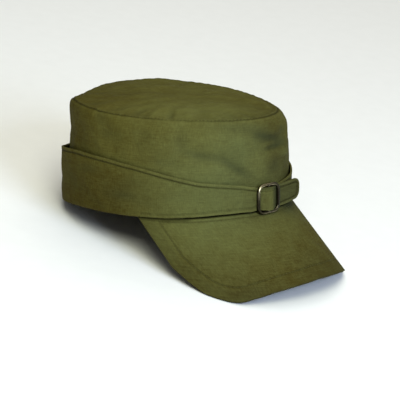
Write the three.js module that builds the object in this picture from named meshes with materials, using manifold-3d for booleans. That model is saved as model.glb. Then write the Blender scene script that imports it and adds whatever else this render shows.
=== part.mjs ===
// A cotton alpine field cap: an oval crown with a flat top panel, a stiff sloping peak, and two
// turned-up flaps that narrow into straps and meet in a wire slide buckle over the forehead.
// Millimetres, +Z up, the front towards -Y, the wearer's left towards +X. The cap is drawn on its
// own level rim and then leaned back on the back of its rim and the corners of its peak.
import * as THREE from 'three';
import { mergeVertices } from 'three/addons/utils/BufferGeometryUtils.js';
import Module from 'manifold-3d';

const { clamp, degToRad, lerp, radToDeg, smoothstep } = THREE.MathUtils;

// Driving dimensions
const HALF_LENGTH = 103; // outside of the crown, front to back
const HALF_WIDTH = 85.5; // outside of the crown, side to side
const SEAM_HEIGHT = 85.3; // rim to the seam round the top panel
const SEAM_LEAN = 3.8; // the seam is this much lower in front and higher behind
const SEAM_SADDLE = 1.1; // front and back of the seam stand up, its sides dip
const TOP_RISE = 3; // how far the top panel domes up over its seam
const TOP_FLATNESS = 3.2; // power of the radius: more is flatter in the middle
const CROWN_CLOTH = 1.5;
const FLAP_CLOTH = 1.3;
const SEWN_GAP = 0.3; // between pieces that are sewn edge to edge

const PEAK_END = 75; // degrees: the peak is sewn on from the front to here, each side
const PEAK_SLOPE = degToRad(42.5);
const PEAK_FAN = 0.04; // how much of its angle each line down the peak turns outwards
const PEAK_LIP = 1.8; // the peak's upper edge stands out from the crown
const PEAK_BOARD = 3;

const BUCKLE_WIDTH = 26.5; // along the strap, outside
const BUCKLE_HEIGHT = 26.3;
const BUCKLE_CORNER = 6; // radius of the wire's middle line at a corner
const BUCKLE_STRAIGHT = 0.125; // sine of the turn, each side of an axis, that a straight side takes
const WIRE = 2;
const BUCKLE_AT = new THREE.Vector3(-7.4, -107.3, 14.4);
const BUCKLE_TURN = degToRad(-5); // about Z, with the curve of the forehead
const TAB_ROUNDING = 6.5; // corner radius of the strap's free end

const PRESSED = 1.1; // how far the cloth gives where the cap stands on it

// The crown's side, from the rim (share 0) to the top seam (share 1): its size against the
// driving oval, and how much the front is drawn in to an egg shape.
const CROWN_SECTIONS = [
  { share: 0.0, size: 0.996, egg: 0.0 },
  { share: 0.35, size: 1.0, egg: 0.0 },
  { share: 0.68, size: 1.001, egg: 0.005 },
  { share: 0.8, size: 0.999, egg: 0.02 },
  { share: 0.88, size: 0.99, egg: 0.055 },
  { share: 0.94, size: 0.971, egg: 0.1 },
  { share: 1.0, size: 0.932, egg: 0.14 },
];

// Where the top seam sags: angle from the front, the reach each way, and the drop.
const SEAM_SAGS = [
  { angle: -162, wide: 20, drop: 6.2 },
  { angle: 168, wide: 20, drop: 1.0 },
  { angle: 55, wide: 30, drop: 1.3 },
];
const SAG_INWARD = 5; // power of the radius by which a sag fades towards the middle of the top

// Soft dents in the crown's side: angle from the front in degrees, height over the rim, the reach
// each way, how far the dent climbs per degree, and its depth.
const CROWN_DENTS = [
  { angle: 2, height: 58, wide: 20, tall: 7, climb: 0.28, depth: 2.4 },
  { angle: -26, height: 50, wide: 15, tall: 12, climb: -0.5, depth: 1.6 },
  { angle: -60, height: 66, wide: 22, tall: 9, climb: 0.05, depth: 1.0 },
  { angle: -108, height: 60, wide: 16, tall: 14, climb: 0.2, depth: 1.2 },
  { angle: 48, height: 60, wide: 18, tall: 9, climb: -0.2, depth: 1.8 },
  { angle: 105, height: 64, wide: 24, tall: 10, climb: 0.1, depth: 1.4 },
  { angle: 178, height: 70, wide: 20, tall: 10, climb: 0.0, depth: 1.3 },
];

// A flap and its strap, by the angle from the front: lower edge, upper edge, and how far the
// cloth stands off the crown.
const FLAP_SECTIONS = [
  { angle: 20, bottom: 4.5, top: 26.2, stand: 2.9 },
  { angle: 34, bottom: 3.8, top: 29.4, stand: 1.3 },
  { angle: 44, bottom: 2.6, top: 31.8, stand: 0.8 },
  { angle: 54, bottom: 1.2, top: 35.2, stand: 0.9 },
  { angle: 64, bottom: 0.3, top: 38.8, stand: 1.4 },
  { angle: 74, bottom: 0.3, top: 42.3, stand: 2.1 },
  { angle: 84, bottom: 0.1, top: 44.5, stand: 2.9 },
  { angle: 97, bottom: -0.2, top: 46.6, stand: 3.8 },
  { angle: 113, bottom: -1.2, top: 47.0, stand: 5.0 },
  { angle: 128, bottom: -3.2, top: 45.2, stand: 6.0 },
  { angle: 145, bottom: -5.6, top: 41.0, stand: 6.5 },
  { angle: 160, bottom: -6.8, top: 37.6, stand: 6.6 },
  { angle: 180, bottom: -7.2, top: 36.4, stand: 6.6 },
];
const FOLD_FROM = 76; // degrees: forward of this the flap hangs free as a strap
const FOLD_FULL = 84; // degrees: behind this it is folded up from under the crown
const FOLD_DEPTH = 2; // the folded cloth's middle, from the crown's edge down
const FOLD_SQUARENESS = 0.5; // exponent of the fold's section: 1 is an ellipse, less is squarer

// The peak, by the angle from the front where it is sewn on: its length down the slope, and how
// far its seam rises over the crown's level rim.
const PEAK_SECTIONS = [
  { angle: 0, length: 70.8, rise: 3.4 },
  { angle: 15, length: 73, rise: 3.3 },
  { angle: 30, length: 77.4, rise: 2 },
  { angle: 42, length: 83.2, rise: 0.7 },
  { angle: 54, length: 88.3, rise: 0 },
  { angle: 64, length: 85.4, rise: 0 },
  { angle: 70, length: 73.8, rise: 0 },
  { angle: 75, length: 54.8, rise: 0 },
];

// Stations of the two straps at the buckle: along the strap from the buckle's middle bar, out from
// the plane of the frame, and the two edges over the rim.
const SIDE_BAR = (BUCKLE_WIDTH - WIRE) / 2;
const PASS = WIRE / 2 + SEWN_GAP + FLAP_CLOTH / 2 + 0.1; // a strap's middle from a bar's middle
const LAYER = FLAP_CLOTH + SEWN_GAP;
const RIGHT_STRAP = [
  { along: -SIDE_BAR - 7, out: -PASS - 0.4, bottom: 4.4, top: 25.0 },
  { along: -SIDE_BAR - 1.5, out: -PASS - 0.05, bottom: 4.7, top: 24.4 },
  { along: -SIDE_BAR + 0.9, out: -PASS + 0.1, bottom: 5.6, top: 23.3 },
  { along: -SIDE_BAR / 2, out: (LAYER + 0.1) / 2, bottom: 5.5, top: 23.4 },
  { along: -1.6, out: PASS + LAYER - 0.15, bottom: 4.9, top: 23.9 },
  { along: 1.6, out: PASS + LAYER - 0.15, bottom: 4.9, top: 23.9 },
  { along: SIDE_BAR / 2, out: (LAYER + 0.1) / 2, bottom: 5.5, top: 23.4 },
  { along: SIDE_BAR - 0.9, out: -PASS + 0.1, bottom: 5.6, top: 23.3 },
  { along: SIDE_BAR + 1.5, out: -PASS - 0.05, bottom: 4.8, top: 24.2 },
  { along: 26, out: -3.4, bottom: 5.9, top: 24.7 },
  { along: 36, out: -4.6, bottom: 7.2, top: 25.4 },
  { along: 40.5, out: -5.2, bottom: 7.8, top: 25.7 },
  { along: 42.8, out: -5.5, bottom: 8.1, top: 25.9 },
  { along: 43.5, out: -5.6, bottom: 8.2, top: 25.9 },
];
const LEFT_STRAP = [
  { along: SIDE_BAR + 5, out: -PASS - LAYER - 0.7, bottom: 4.6, top: 24.6 },
  { along: SIDE_BAR, out: -PASS - LAYER, bottom: 4.8, top: 24.0 },
  { along: 6.5, out: -PASS - LAYER + 0.7, bottom: 5.0, top: 23.8 },
  { along: 0, out: -PASS - 0.1, bottom: 5.0, top: 23.7 },
  { along: -PASS * 0.8, out: -PASS * 0.8, bottom: 5.0, top: 23.7 },
  { along: -PASS - 0.1, out: 0, bottom: 5.0, top: 23.7 },
  { along: -PASS * 0.8, out: PASS * 0.8, bottom: 5.0, top: 23.7 },
  { along: 0, out: PASS, bottom: 5.0, top: 23.7 },
  { along: 3, out: PASS - 1.9, bottom: 5.0, top: 23.7 },
  { along: 6.5, out: -PASS + 0.9, bottom: 5.0, top: 23.7 },
];

// Mesh steps
const ROUND_STEPS = 56;
const CROWN_STEPS = [0, 0.18, 0.36, 0.52, 0.64, 0.74, 0.82, 0.88, 0.94, 1];
const TOP_STEPS = [0, 0.25, 0.5, 0.72, 0.88, 0.96, 1];
const PEAK_STEPS = [50, 5];
const FLAP_FOLD_ROWS = 5;
const FLAP_WALL_ROWS = 3;
const STRAP_FROM = 0.6; // share of a flap's length where its table hands over to the strap's
const FLAP_STATION = 8; // degrees between the stations of a flap
const STATION_STEPS = 2;
const WIRE_SIDES = 8;
const WIRE_STEPS = 44;
const TURN_STEP = 0.05; // radians, to read the direction of the flap's fold
const ANGLE_STEP = 0.01; // radians, to read a surface's normal
const SHARE_STEP = 0.02; // share of the crown's height, for the same
const WELD = 1e-4; // vertices nearer than this are one

// One column of a table, read smoothly between its rows and without overshoot.
function readTable(rows, key, column, at) {
  const last = rows.length - 1;
  if (at <= rows[0][key]) return rows[0][column];
  if (at >= rows[last][key]) return rows[last][column];
  const width = (i) => rows[i + 1][key] - rows[i][key];
  const slope = (i) => (rows[i + 1][column] - rows[i][column]) / width(i);
  const tangent = (i) => {
    const before = slope(Math.max(i - 1, 0));
    const after = slope(Math.min(i, last - 1));
    return before * after <= 0 ? 0 : (2 * before * after) / (before + after);
  };
  const i = rows.findIndex((row) => row[key] > at) - 1;
  const s = (at - rows[i][key]) / width(i);
  const [from, to] = [rows[i][column], rows[i + 1][column]];
  const bend = (tangent(i) * (1 - s) - tangent(i + 1) * s) * s * (1 - s) * width(i);
  return lerp(from, to, s * s * (3 - 2 * s)) + bend;
}

// Degrees round the head from a place in a table to an angle, the short way.
function degreesPast(tableAngle, angle) {
  const past = angle - degToRad(tableAngle);
  return radToDeg(Math.atan2(Math.sin(past), Math.cos(past)));
}

// Height of the top over the rim, at its seam (radius 1) or nearer its middle.
function seamHeight(angle, radius = 1) {
  const saddle = SEAM_SADDLE * Math.cos(2 * angle) * radius ** 2;
  let height = SEAM_HEIGHT - SEAM_LEAN * Math.cos(angle) * radius + saddle;
  for (const sag of SEAM_SAGS) {
    const reach = Math.exp(-((degreesPast(sag.angle, angle) / sag.wide) ** 2));
    height -= sag.drop * reach * radius ** SAG_INWARD;
  }
  return height;
}

// How far the soft cloth is dented in at a place on the crown's side.
function dentDepth(angle, height) {
  let depth = 0;
  for (const dent of CROWN_DENTS) {
    const across = degreesPast(dent.angle, angle);
    const up = height - dent.height - dent.climb * across;
    depth += dent.depth * Math.exp(-((across / dent.wide) ** 2) - (up / dent.tall) ** 2);
  }
  return depth;
}

// A point of the oval of a given size, drawn in at the front by the egg shape.
function ovalPoint(angle, size, egg, height) {
  const x = HALF_WIDTH * size * Math.sin(angle) * (1 - egg * Math.cos(angle));
  return new THREE.Vector3(x, -HALF_LENGTH * size * Math.cos(angle), height);
}

// The way straight out from the oval.
function ovalOut(angle) {
  const x = Math.sin(angle) / HALF_WIDTH;
  return new THREE.Vector3(x, -Math.cos(angle) / HALF_LENGTH, 0).normalize();
}

// The outside of the crown's side.
function crownFace(angle, share) {
  const height = share * (seamHeight(angle) - CROWN_CLOTH - SEWN_GAP);
  const size = readTable(CROWN_SECTIONS, 'share', 'size', share);
  const egg = readTable(CROWN_SECTIONS, 'share', 'egg', share);
  const point = ovalPoint(angle, size, egg, height);
  const inward = new THREE.Vector3(-point.x, -point.y, 0).normalize();
  return point.addScaledVector(inward, dentDepth(angle, height));
}

// The outside of the top panel, from its middle (radius 0) to its seam (radius 1).
function topFace(angle, radius) {
  const seam = CROWN_SECTIONS[CROWN_SECTIONS.length - 1];
  const point = ovalPoint(angle, seam.size * radius, seam.egg * radius, 0);
  const dome = TOP_RISE * (1 - radius ** TOP_FLATNESS);
  return point.setZ(seamHeight(angle, radius) + dome);
}

// The unit normal of a surface at a place, by small steps to each side of it.
function faceNormal(face, a, b, stepA, stepB) {
  const alongA = face(a + stepA, b).sub(face(a - stepA, b));
  const alongB = face(a, b + stepB).sub(face(a, b - stepB));
  return alongA.cross(alongB).normalize();
}

// Moves every vertex of a geometry to where a rule puts it.
function shaped(geometry, rule) {
  const position = geometry.getAttribute('position');
  const at = new THREE.Vector3();
  for (let i = 0; i < position.count; i++) {
    at.fromBufferAttribute(position, i);
    const to = rule(at);
    position.setXYZ(i, to.x, to.y, to.z);
  }
  geometry.deleteAttribute('normal');
  geometry.deleteAttribute('uv');
  return geometry;
}

// A closed ring round the head: a profile of (layer, level) points turned right round. A layer of
// 1 is the inside and 2 the outside.
function ring(profile, place) {
  const points = profile.map(([layer, level]) => new THREE.Vector2(layer, level));
  points.push(points[0].clone());
  const geometry = new THREE.LatheGeometry(points, ROUND_STEPS);
  return shaped(geometry, (at) => {
    const layer = Math.hypot(at.x, at.z) - 1;
    return place(Math.atan2(at.x, at.z), at.y, layer);
  });
}

// A sheet of cloth or board: a flat box with its length, height and thickness counted from 0 to 1.
function sheet(acrossSteps, upSteps, place) {
  const geometry = new THREE.BoxGeometry(1, 1, 1, acrossSteps, upSteps, 1);
  return shaped(geometry.translate(0.5, 0.5, 0.5), (at) => place(at.x, at.y, at.z));
}

// A sheet that stands on the ground: where either face would reach below it, both are lifted.
function standingSheet(acrossSteps, upSteps, ground, place) {
  return sheet(acrossSteps, upSteps, (u, v, w) => {
    const low = Math.min(place(u, v, 0).dot(ground.up), place(u, v, 1).dot(ground.up));
    return place(u, v, w).addScaledVector(ground.up, Math.max(ground.height - low, 0));
  });
}

// Degrees from the front, on either side.
function degreesFromFront(angle) {
  return Math.abs(radToDeg(angle));
}

// Half the width of the fold that turns the flap up, between the middles of its two walls.
function foldHalf(angle) {
  const stand = readTable(FLAP_SECTIONS, 'angle', 'stand', degreesFromFront(angle));
  return (stand + (FLAP_CLOTH + CROWN_CLOTH) / 2) / 2;
}

// How far the flap's cloth is curled under the crown: 0 as a strap, half a turn when folded up.
function flapCurl(angle) {
  return Math.PI * smoothstep(degreesFromFront(angle), FOLD_FROM, FOLD_FULL);
}

// A point round the fold, inwards and down from the foot of the flap's wall.
function foldPoint(turn, half) {
  const squared = (value) => Math.sign(value) * Math.abs(value) ** FOLD_SQUARENESS;
  return [half * (1 - squared(Math.cos(turn))), FOLD_DEPTH * squared(Math.sin(turn))];
}

// Length of the peak where it is sewn on at an angle, and how far its seam rises there.
function peakSection(angle) {
  const degrees = degreesFromFront(angle);
  return ['length', 'rise'].map((column) => readTable(PEAK_SECTIONS, 'angle', column, degrees));
}

// Lower edge of the crown's side: on the flap's fold at the back, on the peak in front.
function crownBottom(angle) {
  const degrees = degreesFromFront(angle);
  const folded = smoothstep(degrees, FOLD_FROM - 4, FOLD_FROM);
  const edge = readTable(FLAP_SECTIONS, 'angle', 'bottom', degrees) + FOLD_DEPTH + SEWN_GAP;
  return lerp(peakSection(angle)[1], edge, folded);
}

// The crown's side wall.
function makeCrownSide() {
  const outside = CROWN_STEPS.map((share) => [2, share]);
  const inside = CROWN_STEPS.map((share) => [1, share]).reverse();
  return ring([...outside, ...inside], (angle, level, layer) => {
    const lowest = crownBottom(angle) / seamHeight(angle);
    const share = lerp(lowest, 1, level);
    const point = crownFace(angle, share);
    const within = Math.min(share, 1 - 2 * SHARE_STEP);
    const normal = faceNormal(crownFace, angle, within, ANGLE_STEP, SHARE_STEP);
    const height = point.z;
    point.addScaledVector(normal, -CROWN_CLOTH * (1 - layer));
    if (level === 0 || level === 1) point.z = height; // both rims are cut level
    return point;
  });
}

// The top panel, a shallow dome sewn to the side wall.
function makeCrownTop() {
  const inside = TOP_STEPS.map((radius) => new THREE.Vector2(radius, 0));
  const outside = TOP_STEPS.map((radius) => new THREE.Vector2(radius, 1)).reverse();
  const points = [...inside, ...outside];
  return shaped(new THREE.LatheGeometry(points, ROUND_STEPS), (at) => {
    const point = topFace(Math.atan2(at.x, at.z), Math.min(Math.hypot(at.x, at.z), 1));
    point.z -= CROWN_CLOTH * (1 - at.y);
    return point;
  });
}

// The upper face of the peak: straight lines down a slope from the rim's curve, so that the board
// bends one way only.
function peakFace(angle, length) {
  const heading = angle * PEAK_FAN;
  const level = Math.cos(PEAK_SLOPE) * length;
  const [full, rise] = peakSection(angle);
  return ovalPoint(angle, 1, 0, -SEWN_GAP)
    .addScaledVector(ovalOut(angle), PEAK_LIP)
    .add(new THREE.Vector3(Math.sin(heading) * level, -Math.cos(heading) * level, 0))
    .setZ(rise - SEWN_GAP - (Math.sin(PEAK_SLOPE) + rise / full) * length);
}

// The peak, with its sewn edge cut level under the crown.
function makePeak(ground) {
  const [across, down] = PEAK_STEPS;
  return standingSheet(across, down, ground, (u, v, w) => {
    const angle = degToRad(lerp(PEAK_END, -PEAK_END, u));
    const depth = PEAK_BOARD * (1 - w);
    const normal = faceNormal(peakFace, angle, 0, ANGLE_STEP, -1);
    const [full, rise] = peakSection(angle);
    const levelled = -(depth * normal.z) / (Math.sin(PEAK_SLOPE) + rise / full);
    return peakFace(angle, lerp(levelled, full, v)).addScaledVector(normal, -depth);
  });
}

// The two edge lines of a flap and its strap, each through the same stations. Side is 1 for the
// wearer's left and -1 for the right.
function flapEdges(side, strap) {
  const stations = [];
  for (let angle = 180; angle >= FLAP_SECTIONS[0].angle; angle -= FLAP_STATION) {
    const [bottom, top, stand] = ['bottom', 'top', 'stand'].map((column) =>
      readTable(FLAP_SECTIONS, 'angle', column, angle),
    );
    const point = ovalPoint(side * degToRad(angle), 1, 0, 0);
    point.addScaledVector(ovalOut(side * degToRad(angle)), stand + FLAP_CLOTH / 2);
    stations.push({ x: point.x, y: point.y, bottom, top });
  }
  const along = new THREE.Vector2(Math.cos(BUCKLE_TURN), Math.sin(BUCKLE_TURN));
  for (const row of strap) {
    stations.push({
      ...row,
      x: BUCKLE_AT.x + along.x * row.along + along.y * row.out,
      y: BUCKLE_AT.y + along.y * row.along - along.x * row.out,
    });
  }
  const line = (edge) =>
    new THREE.CatmullRomCurve3(stations.map((s) => new THREE.Vector3(s.x, s.y, s[edge])));
  return { lower: line('bottom'), upper: line('top'), steps: (stations.length - 1) * STATION_STEPS };
}

// A flap: folded up from the rim behind, and narrowing to a strap in front.
function makeFlap(side, strap, roundEnd, ground) {
  const { lower, upper, steps } = flapEdges(side, strap);
  const end = lower.getPoint(1);
  return standingSheet(steps, FLAP_FOLD_ROWS + FLAP_WALL_ROWS, ground, (u, v, w) => {
    const low = lower.getPoint(u);
    const high = upper.getPoint(u);
    const forward = lower.getTangent(u).setZ(0).normalize();
    const outward = new THREE.Vector3(forward.y, -forward.x, 0).multiplyScalar(-side);
    const angle = Math.atan2(low.x / HALF_WIDTH, -low.y / HALF_LENGTH);
    const curl = u < STRAP_FROM ? flapCurl(angle) : 0;

    // The free corners of a strap's end are rounded off.
    const missing = roundEnd && u > STRAP_FROM ? Math.max(TAB_ROUNDING - low.distanceTo(end), 0) : 0;
    const corner = TAB_ROUNDING - Math.sqrt(TAB_ROUNDING ** 2 - missing ** 2);

    // The first rows go round the fold, the others up the wall.
    const half = foldHalf(angle);
    const row = v * (FLAP_FOLD_ROWS + FLAP_WALL_ROWS) - FLAP_FOLD_ROWS;
    const around = curl * Math.max(-row / FLAP_FOLD_ROWS, 0);
    const foot = low.z + corner + foldPoint(Math.min(curl, Math.PI / 2), half)[1];
    const climb = Math.max(row / FLAP_WALL_ROWS, 0) * (high.z - corner - foot);
    const [inward, down] = foldPoint(around, half);

    // The cloth's thickness is square to the fold.
    const [inBefore, downBefore] = foldPoint(Math.max(around - TURN_STEP, 0), half);
    const [inAfter, downAfter] = foldPoint(around + TURN_STEP, half);
    const face = new THREE.Vector2(downAfter - downBefore, inAfter - inBefore).normalize();
    const out = (0.5 - w) * FLAP_CLOTH * side;
    const point = low.clone().addScaledVector(outward, out * face.x - inward);
    point.x = side * (u > STRAP_FROM ? side * point.x : Math.max(side * point.x, SEWN_GAP / 2));
    return point.setZ(foot + climb - down - out * face.y);
  });
}

// The outline of the buckle's wire at an angle round it, and the way out from it.
function wirePath(turn) {
  const straightX = SIDE_BAR - BUCKLE_CORNER;
  const straightZ = (BUCKLE_HEIGHT - WIRE) / 2 - BUCKLE_CORNER;
  const out = new THREE.Vector2(Math.cos(turn), Math.sin(turn));
  const corner = new THREE.Vector2(
    straightX * clamp(out.x / BUCKLE_STRAIGHT, -1, 1),
    straightZ * clamp(out.y / BUCKLE_STRAIGHT, -1, 1),
  );
  return { out, point: corner.addScaledVector(out, BUCKLE_CORNER) };
}

// A mesh as a solid that can be joined and cut.
function toSolid(wasm, geometry) {
  const merged = mergeVertices(geometry, WELD);
  return new wasm.Manifold(
    new wasm.Mesh({
      numProp: 3,
      vertProperties: merged.getAttribute('position').array,
      triVerts: new Uint32Array(merged.index.array),
    }),
  );
}

// A solid as a mesh again.
function toGeometry(solid) {
  const mesh = solid.getMesh();
  const geometry = new THREE.BufferGeometry();
  geometry.setAttribute('position', new THREE.BufferAttribute(mesh.vertProperties, 3));
  geometry.setIndex(new THREE.BufferAttribute(mesh.triVerts, 1));
  return geometry;
}

// The slide buckle: a bent wire frame with a middle bar joined in.
function makeBuckle(wasm) {
  const ringRadius = BUCKLE_HEIGHT / 2;
  const torus = new THREE.TorusGeometry(ringRadius, WIRE / 2, WIRE_SIDES, WIRE_STEPS);
  const frame = shaped(torus, (at) => {
    const { out, point } = wirePath(Math.atan2(at.y, at.x));
    point.addScaledVector(out, Math.hypot(at.x, at.y) - ringRadius);
    return new THREE.Vector3(point.x, -at.z, point.y);
  });
  const bar = new THREE.CylinderGeometry(WIRE / 2, WIRE / 2, BUCKLE_HEIGHT - WIRE, WIRE_SIDES);
  bar.rotateX(Math.PI / 2);
  for (const name of ['normal', 'uv']) bar.deleteAttribute(name);
  const joined = toGeometry(toSolid(wasm, frame).add(toSolid(wasm, bar)));
  joined.rotateZ(BUCKLE_TURN);
  return joined.translate(BUCKLE_AT.x, BUCKLE_AT.y, BUCKLE_AT.z);
}

// Upwards from the floor, in the cap's own frame, once it is leaned back.
function upFromFloor(lean) {
  return new THREE.Vector3(0, -Math.sin(lean), Math.cos(lean));
}

// The lowest height that a geometry reaches once the cap is leaned back.
function lowest(geometry, lean) {
  const position = geometry.getAttribute('position');
  const up = upFromFloor(lean);
  const at = new THREE.Vector3();
  let low = Infinity;
  for (let i = 0; i < position.count; i++) {
    low = Math.min(low, at.fromBufferAttribute(position, i).dot(up));
  }
  return low;
}

// The lean at which the back of the rim and the peak's corners stand level.
function restLean(back, peak) {
  let [low, high] = [0, Math.PI / 4];
  while (high - low > 1e-6) {
    const middle = (low + high) / 2;
    if (lowest(peak, middle) < lowest(back, middle)) low = middle;
    else high = middle;
  }
  return low;
}

const wasm = await Module();
wasm.setup();

// The cap is measured in the air first, to find its lean, and then made to stand.
const air = { up: new THREE.Vector3(0, 0, 1), height: -Infinity };
const lean = restLean(makeFlap(-1, RIGHT_STRAP, true, air), makePeak(air));
const ground = { up: upFromFloor(lean), height: lowest(makePeak(air), lean) + PRESSED };
const pieces = {
  crown_side: makeCrownSide(),
  crown_top: makeCrownTop(),
  peak: makePeak(ground),
  flap_right: makeFlap(-1, RIGHT_STRAP, true, ground),
  flap_left: makeFlap(1, LEFT_STRAP, false, ground),
  buckle: makeBuckle(wasm),
};

const oliveCotton = { color: 0x5d6136, roughness: 0.86, metalness: 0 };
const agedBrass = { color: 0x4a4436, roughness: 0.38, metalness: 0.9 };
const cap = new THREE.Group();
for (const [name, geometry] of Object.entries(pieces)) {
  const look = name === 'buckle' ? agedBrass : oliveCotton;
  const mesh = new THREE.Mesh(geometry, new THREE.MeshStandardMaterial(look));
  mesh.name = name;
  cap.add(mesh);
}
cap.rotation.x = -lean;

// The frame's origin is under the middle of the cap, on the surface it stands on.
cap.updateMatrixWorld(true);
const reach = new THREE.Box3().setFromObject(cap, true);
cap.position.x -= (reach.min.x + reach.max.x) / 2;
cap.position.y -= (reach.min.y + reach.max.y) / 2;
cap.position.z -= reach.min.z;

const part = new THREE.Group();
part.add(cap);
export default part;
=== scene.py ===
"""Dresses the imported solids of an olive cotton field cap: its cloth, its stitching and its buckle.

Shapes are worked out in millimetres in the cap's own frame, whose rim is level, with +Z up, the
front towards -Y and the wearer's left towards +X. A Stance then leans them back as the cap rests
and gives them in the frame's metres. Angles round the head are counted from the front.
"""

import logging
import math
from collections import defaultdict
from collections.abc import Iterator
from contextlib import contextmanager
from dataclasses import dataclass, field
from enum import Enum
from typing import Any

import bpy
import numpy as np
from mathutils import Matrix, Vector, noise
from numpy.typing import NDArray


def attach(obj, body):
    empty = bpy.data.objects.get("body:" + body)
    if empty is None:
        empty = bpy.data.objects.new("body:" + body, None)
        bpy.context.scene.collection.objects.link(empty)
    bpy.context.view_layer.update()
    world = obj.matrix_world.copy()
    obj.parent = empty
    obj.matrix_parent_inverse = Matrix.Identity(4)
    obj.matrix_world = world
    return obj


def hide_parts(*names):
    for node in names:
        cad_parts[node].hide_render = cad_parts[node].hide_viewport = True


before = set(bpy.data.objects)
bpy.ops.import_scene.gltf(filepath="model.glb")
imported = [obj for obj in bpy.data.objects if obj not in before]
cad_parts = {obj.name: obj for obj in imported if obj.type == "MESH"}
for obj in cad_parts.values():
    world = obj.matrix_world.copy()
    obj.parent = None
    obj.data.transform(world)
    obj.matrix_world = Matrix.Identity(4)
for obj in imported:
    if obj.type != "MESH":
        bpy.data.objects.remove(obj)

Array = NDArray[np.float64]
Colour = tuple[float, float, float]
Shares = tuple[tuple[str, float], ...]
Span = tuple[float, float]

MM = 0.001
BODY = "root"
CLOTH_UV = "cloth"
STITCH = "stitch_mm"
WEAR_AND_HIGHLIGHT = "worn"
# The seam attribute is part dark seams and joints, part painted shade.
SEAM_AND_SHADE = "seam"
LIT_AND_FADED = "faded"
LIT_TINT = "lit_tint"
PAINTED_SHADE = "painted_shade"
RELIEF = "relief"
SEWN_GAP = 0.3
CROWN_CLOTH = 1.5
FLAP_CLOTH = 1.3
WELD = 1e-5  # metres: vertices nearer than this are one
# Painted shade: each millimetre of pressed paints the cloth darker towards the painted_shade colour, at
# most DEEPEST_SHADE; below 0 it is painted lighter by RAISED_LIGHT.
PRESSED_SHADE = 0.17  # for each millimetre that a fold is pushed in
DEEPEST_SHADE = 0.75
RAISED_LIGHT = 0.12  # for each millimetre that a fold stands out
CAP_MIDDLE = (0.0, 0.0, 40.0)
SMOOTH_ANGLE = math.radians(60)
SQUARE_EDGE = math.radians(50)

log = logging.getLogger("cap")


class Slot(Enum):
    """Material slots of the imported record."""

    COTTON = "olive_cotton"
    BRASS = "aged_brass"


class Side(Enum):
    """The wearer's side that a flap belongs to, as the sign of X."""

    RIGHT = -1
    LEFT = 1


def smoothstep(value: Array, low: float, high: float) -> Array:
    """Rises smoothly from 0 at low to 1 at high.

    Args:
        value: Numbers to map.
        low: Where the rise starts.
        high: Where the rise ends.

    Returns:
        Numbers from 0 to 1.
    """
    share = np.clip((value - low) / (high - low), 0.0, 1.0)
    return share * share * (3.0 - 2.0 * share)


def bell(value: Array, middle: float, reach: float) -> Array:
    """A bell curve of height 1 round a middle, with the given reach to each side."""
    return np.exp(-(((value - middle) / reach) ** 2))


@dataclass(frozen=True)
class Table:
    """Rows of numbers under named columns, read smoothly and without overshoot.

    The first column is what the others are read by, and rises from row to row.
    """

    columns: tuple[str, ...]
    rows: tuple[tuple[float, ...], ...]

    def column(self, name: str) -> Array:
        """All the numbers of a column."""
        return np.array([row[self.columns.index(name)] for row in self.rows], dtype=float)

    def read(self, name: str, at: Array) -> Array:
        """Reads a column between the rows.

        Args:
            name: The column's name.
            at: Where to read, in the first column's unit. It is held to the table's ends.

        Returns:
            The column's numbers there.
        """
        x, y = self.column(self.columns[0]), self.column(name)
        width = np.diff(x)
        slope = np.diff(y) / width
        before = np.concatenate((slope[:1], slope))
        after = np.concatenate((slope, slope[-1:]))
        rising = before * after > 0
        tangent = np.where(rising, 2 * before * after / np.where(rising, before + after, 1), 0)
        at = np.clip(at, x[0], x[-1])
        i = np.clip(np.searchsorted(x, at, side="right") - 1, 0, len(width) - 1)
        s = (at - x[i]) / width[i]
        bend = (tangent[i] * (1 - s) - tangent[i + 1] * s) * s * (1 - s) * width[i]
        return y[i] + (y[i + 1] - y[i]) * s * s * (3 - 2 * s) + bend

    def named_rows(self) -> list[dict[str, float]]:
        """Each row as a dict of its columns."""
        return [dict(zip(self.columns, row)) for row in self.rows]


DENT_COLUMNS = ("angle", "height", "wide", "tall", "climb", "depth")


def degrees_past(table_angle: float, angle: Array) -> Array:
    """Degrees round the head from a table's angle to others, the short way."""
    past = angle - math.radians(table_angle)
    return np.degrees(np.arctan2(np.sin(past), np.cos(past)))


def dents(table: Table, angle: Array, height: Array) -> Array:
    """How far soft cloth is pushed in by a table of dents.

    Args:
        table: Dents by angle, height, reach along and up, climb per degree, and depth.
        angle: Angles round the head, in radians.
        height: Heights over the rim, in millimetres.

    Returns:
        The depth at each place, in millimetres; less than 0 is pushed out.
    """
    depth = np.zeros_like(angle + height)
    for dent in table.named_rows():
        across = degrees_past(dent["angle"], angle)
        up = height - dent["height"] - dent["climb"] * across
        depth += dent["depth"] * bell(across, 0, dent["wide"]) * bell(up, 0, dent["tall"])
    return depth


@dataclass(frozen=True)
class Swell:
    """A bell-shaped ridge: its height, and its middle and reach in the unit that it is read by."""

    height: float
    at: float
    reach: float

    def by(self, away: Array) -> Array:
        """Its height at distances from where its place is counted."""
        return self.height * bell(away, self.at, self.reach)


@dataclass(frozen=True)
class Crumple:
    """A soft unevenness of cloth, the same at each run, in millimetres."""

    grain: float
    depth: float
    seed: float

    def at(self, points: Array, factor: float = 1.0) -> Array:
        """The unevenness round 0 at some points.

        Args:
            points: Places in the cap's frame, in millimetres.
            factor: What its seed is multiplied by, so that two sides differ.

        Returns:
            The height at each point.
        """
        flat = points.reshape(-1, 3) / self.grain + self.seed * factor
        heights = [noise.noise(Vector(place)) for place in flat]
        return self.depth * np.array(heights).reshape(points.shape[:-1])


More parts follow.
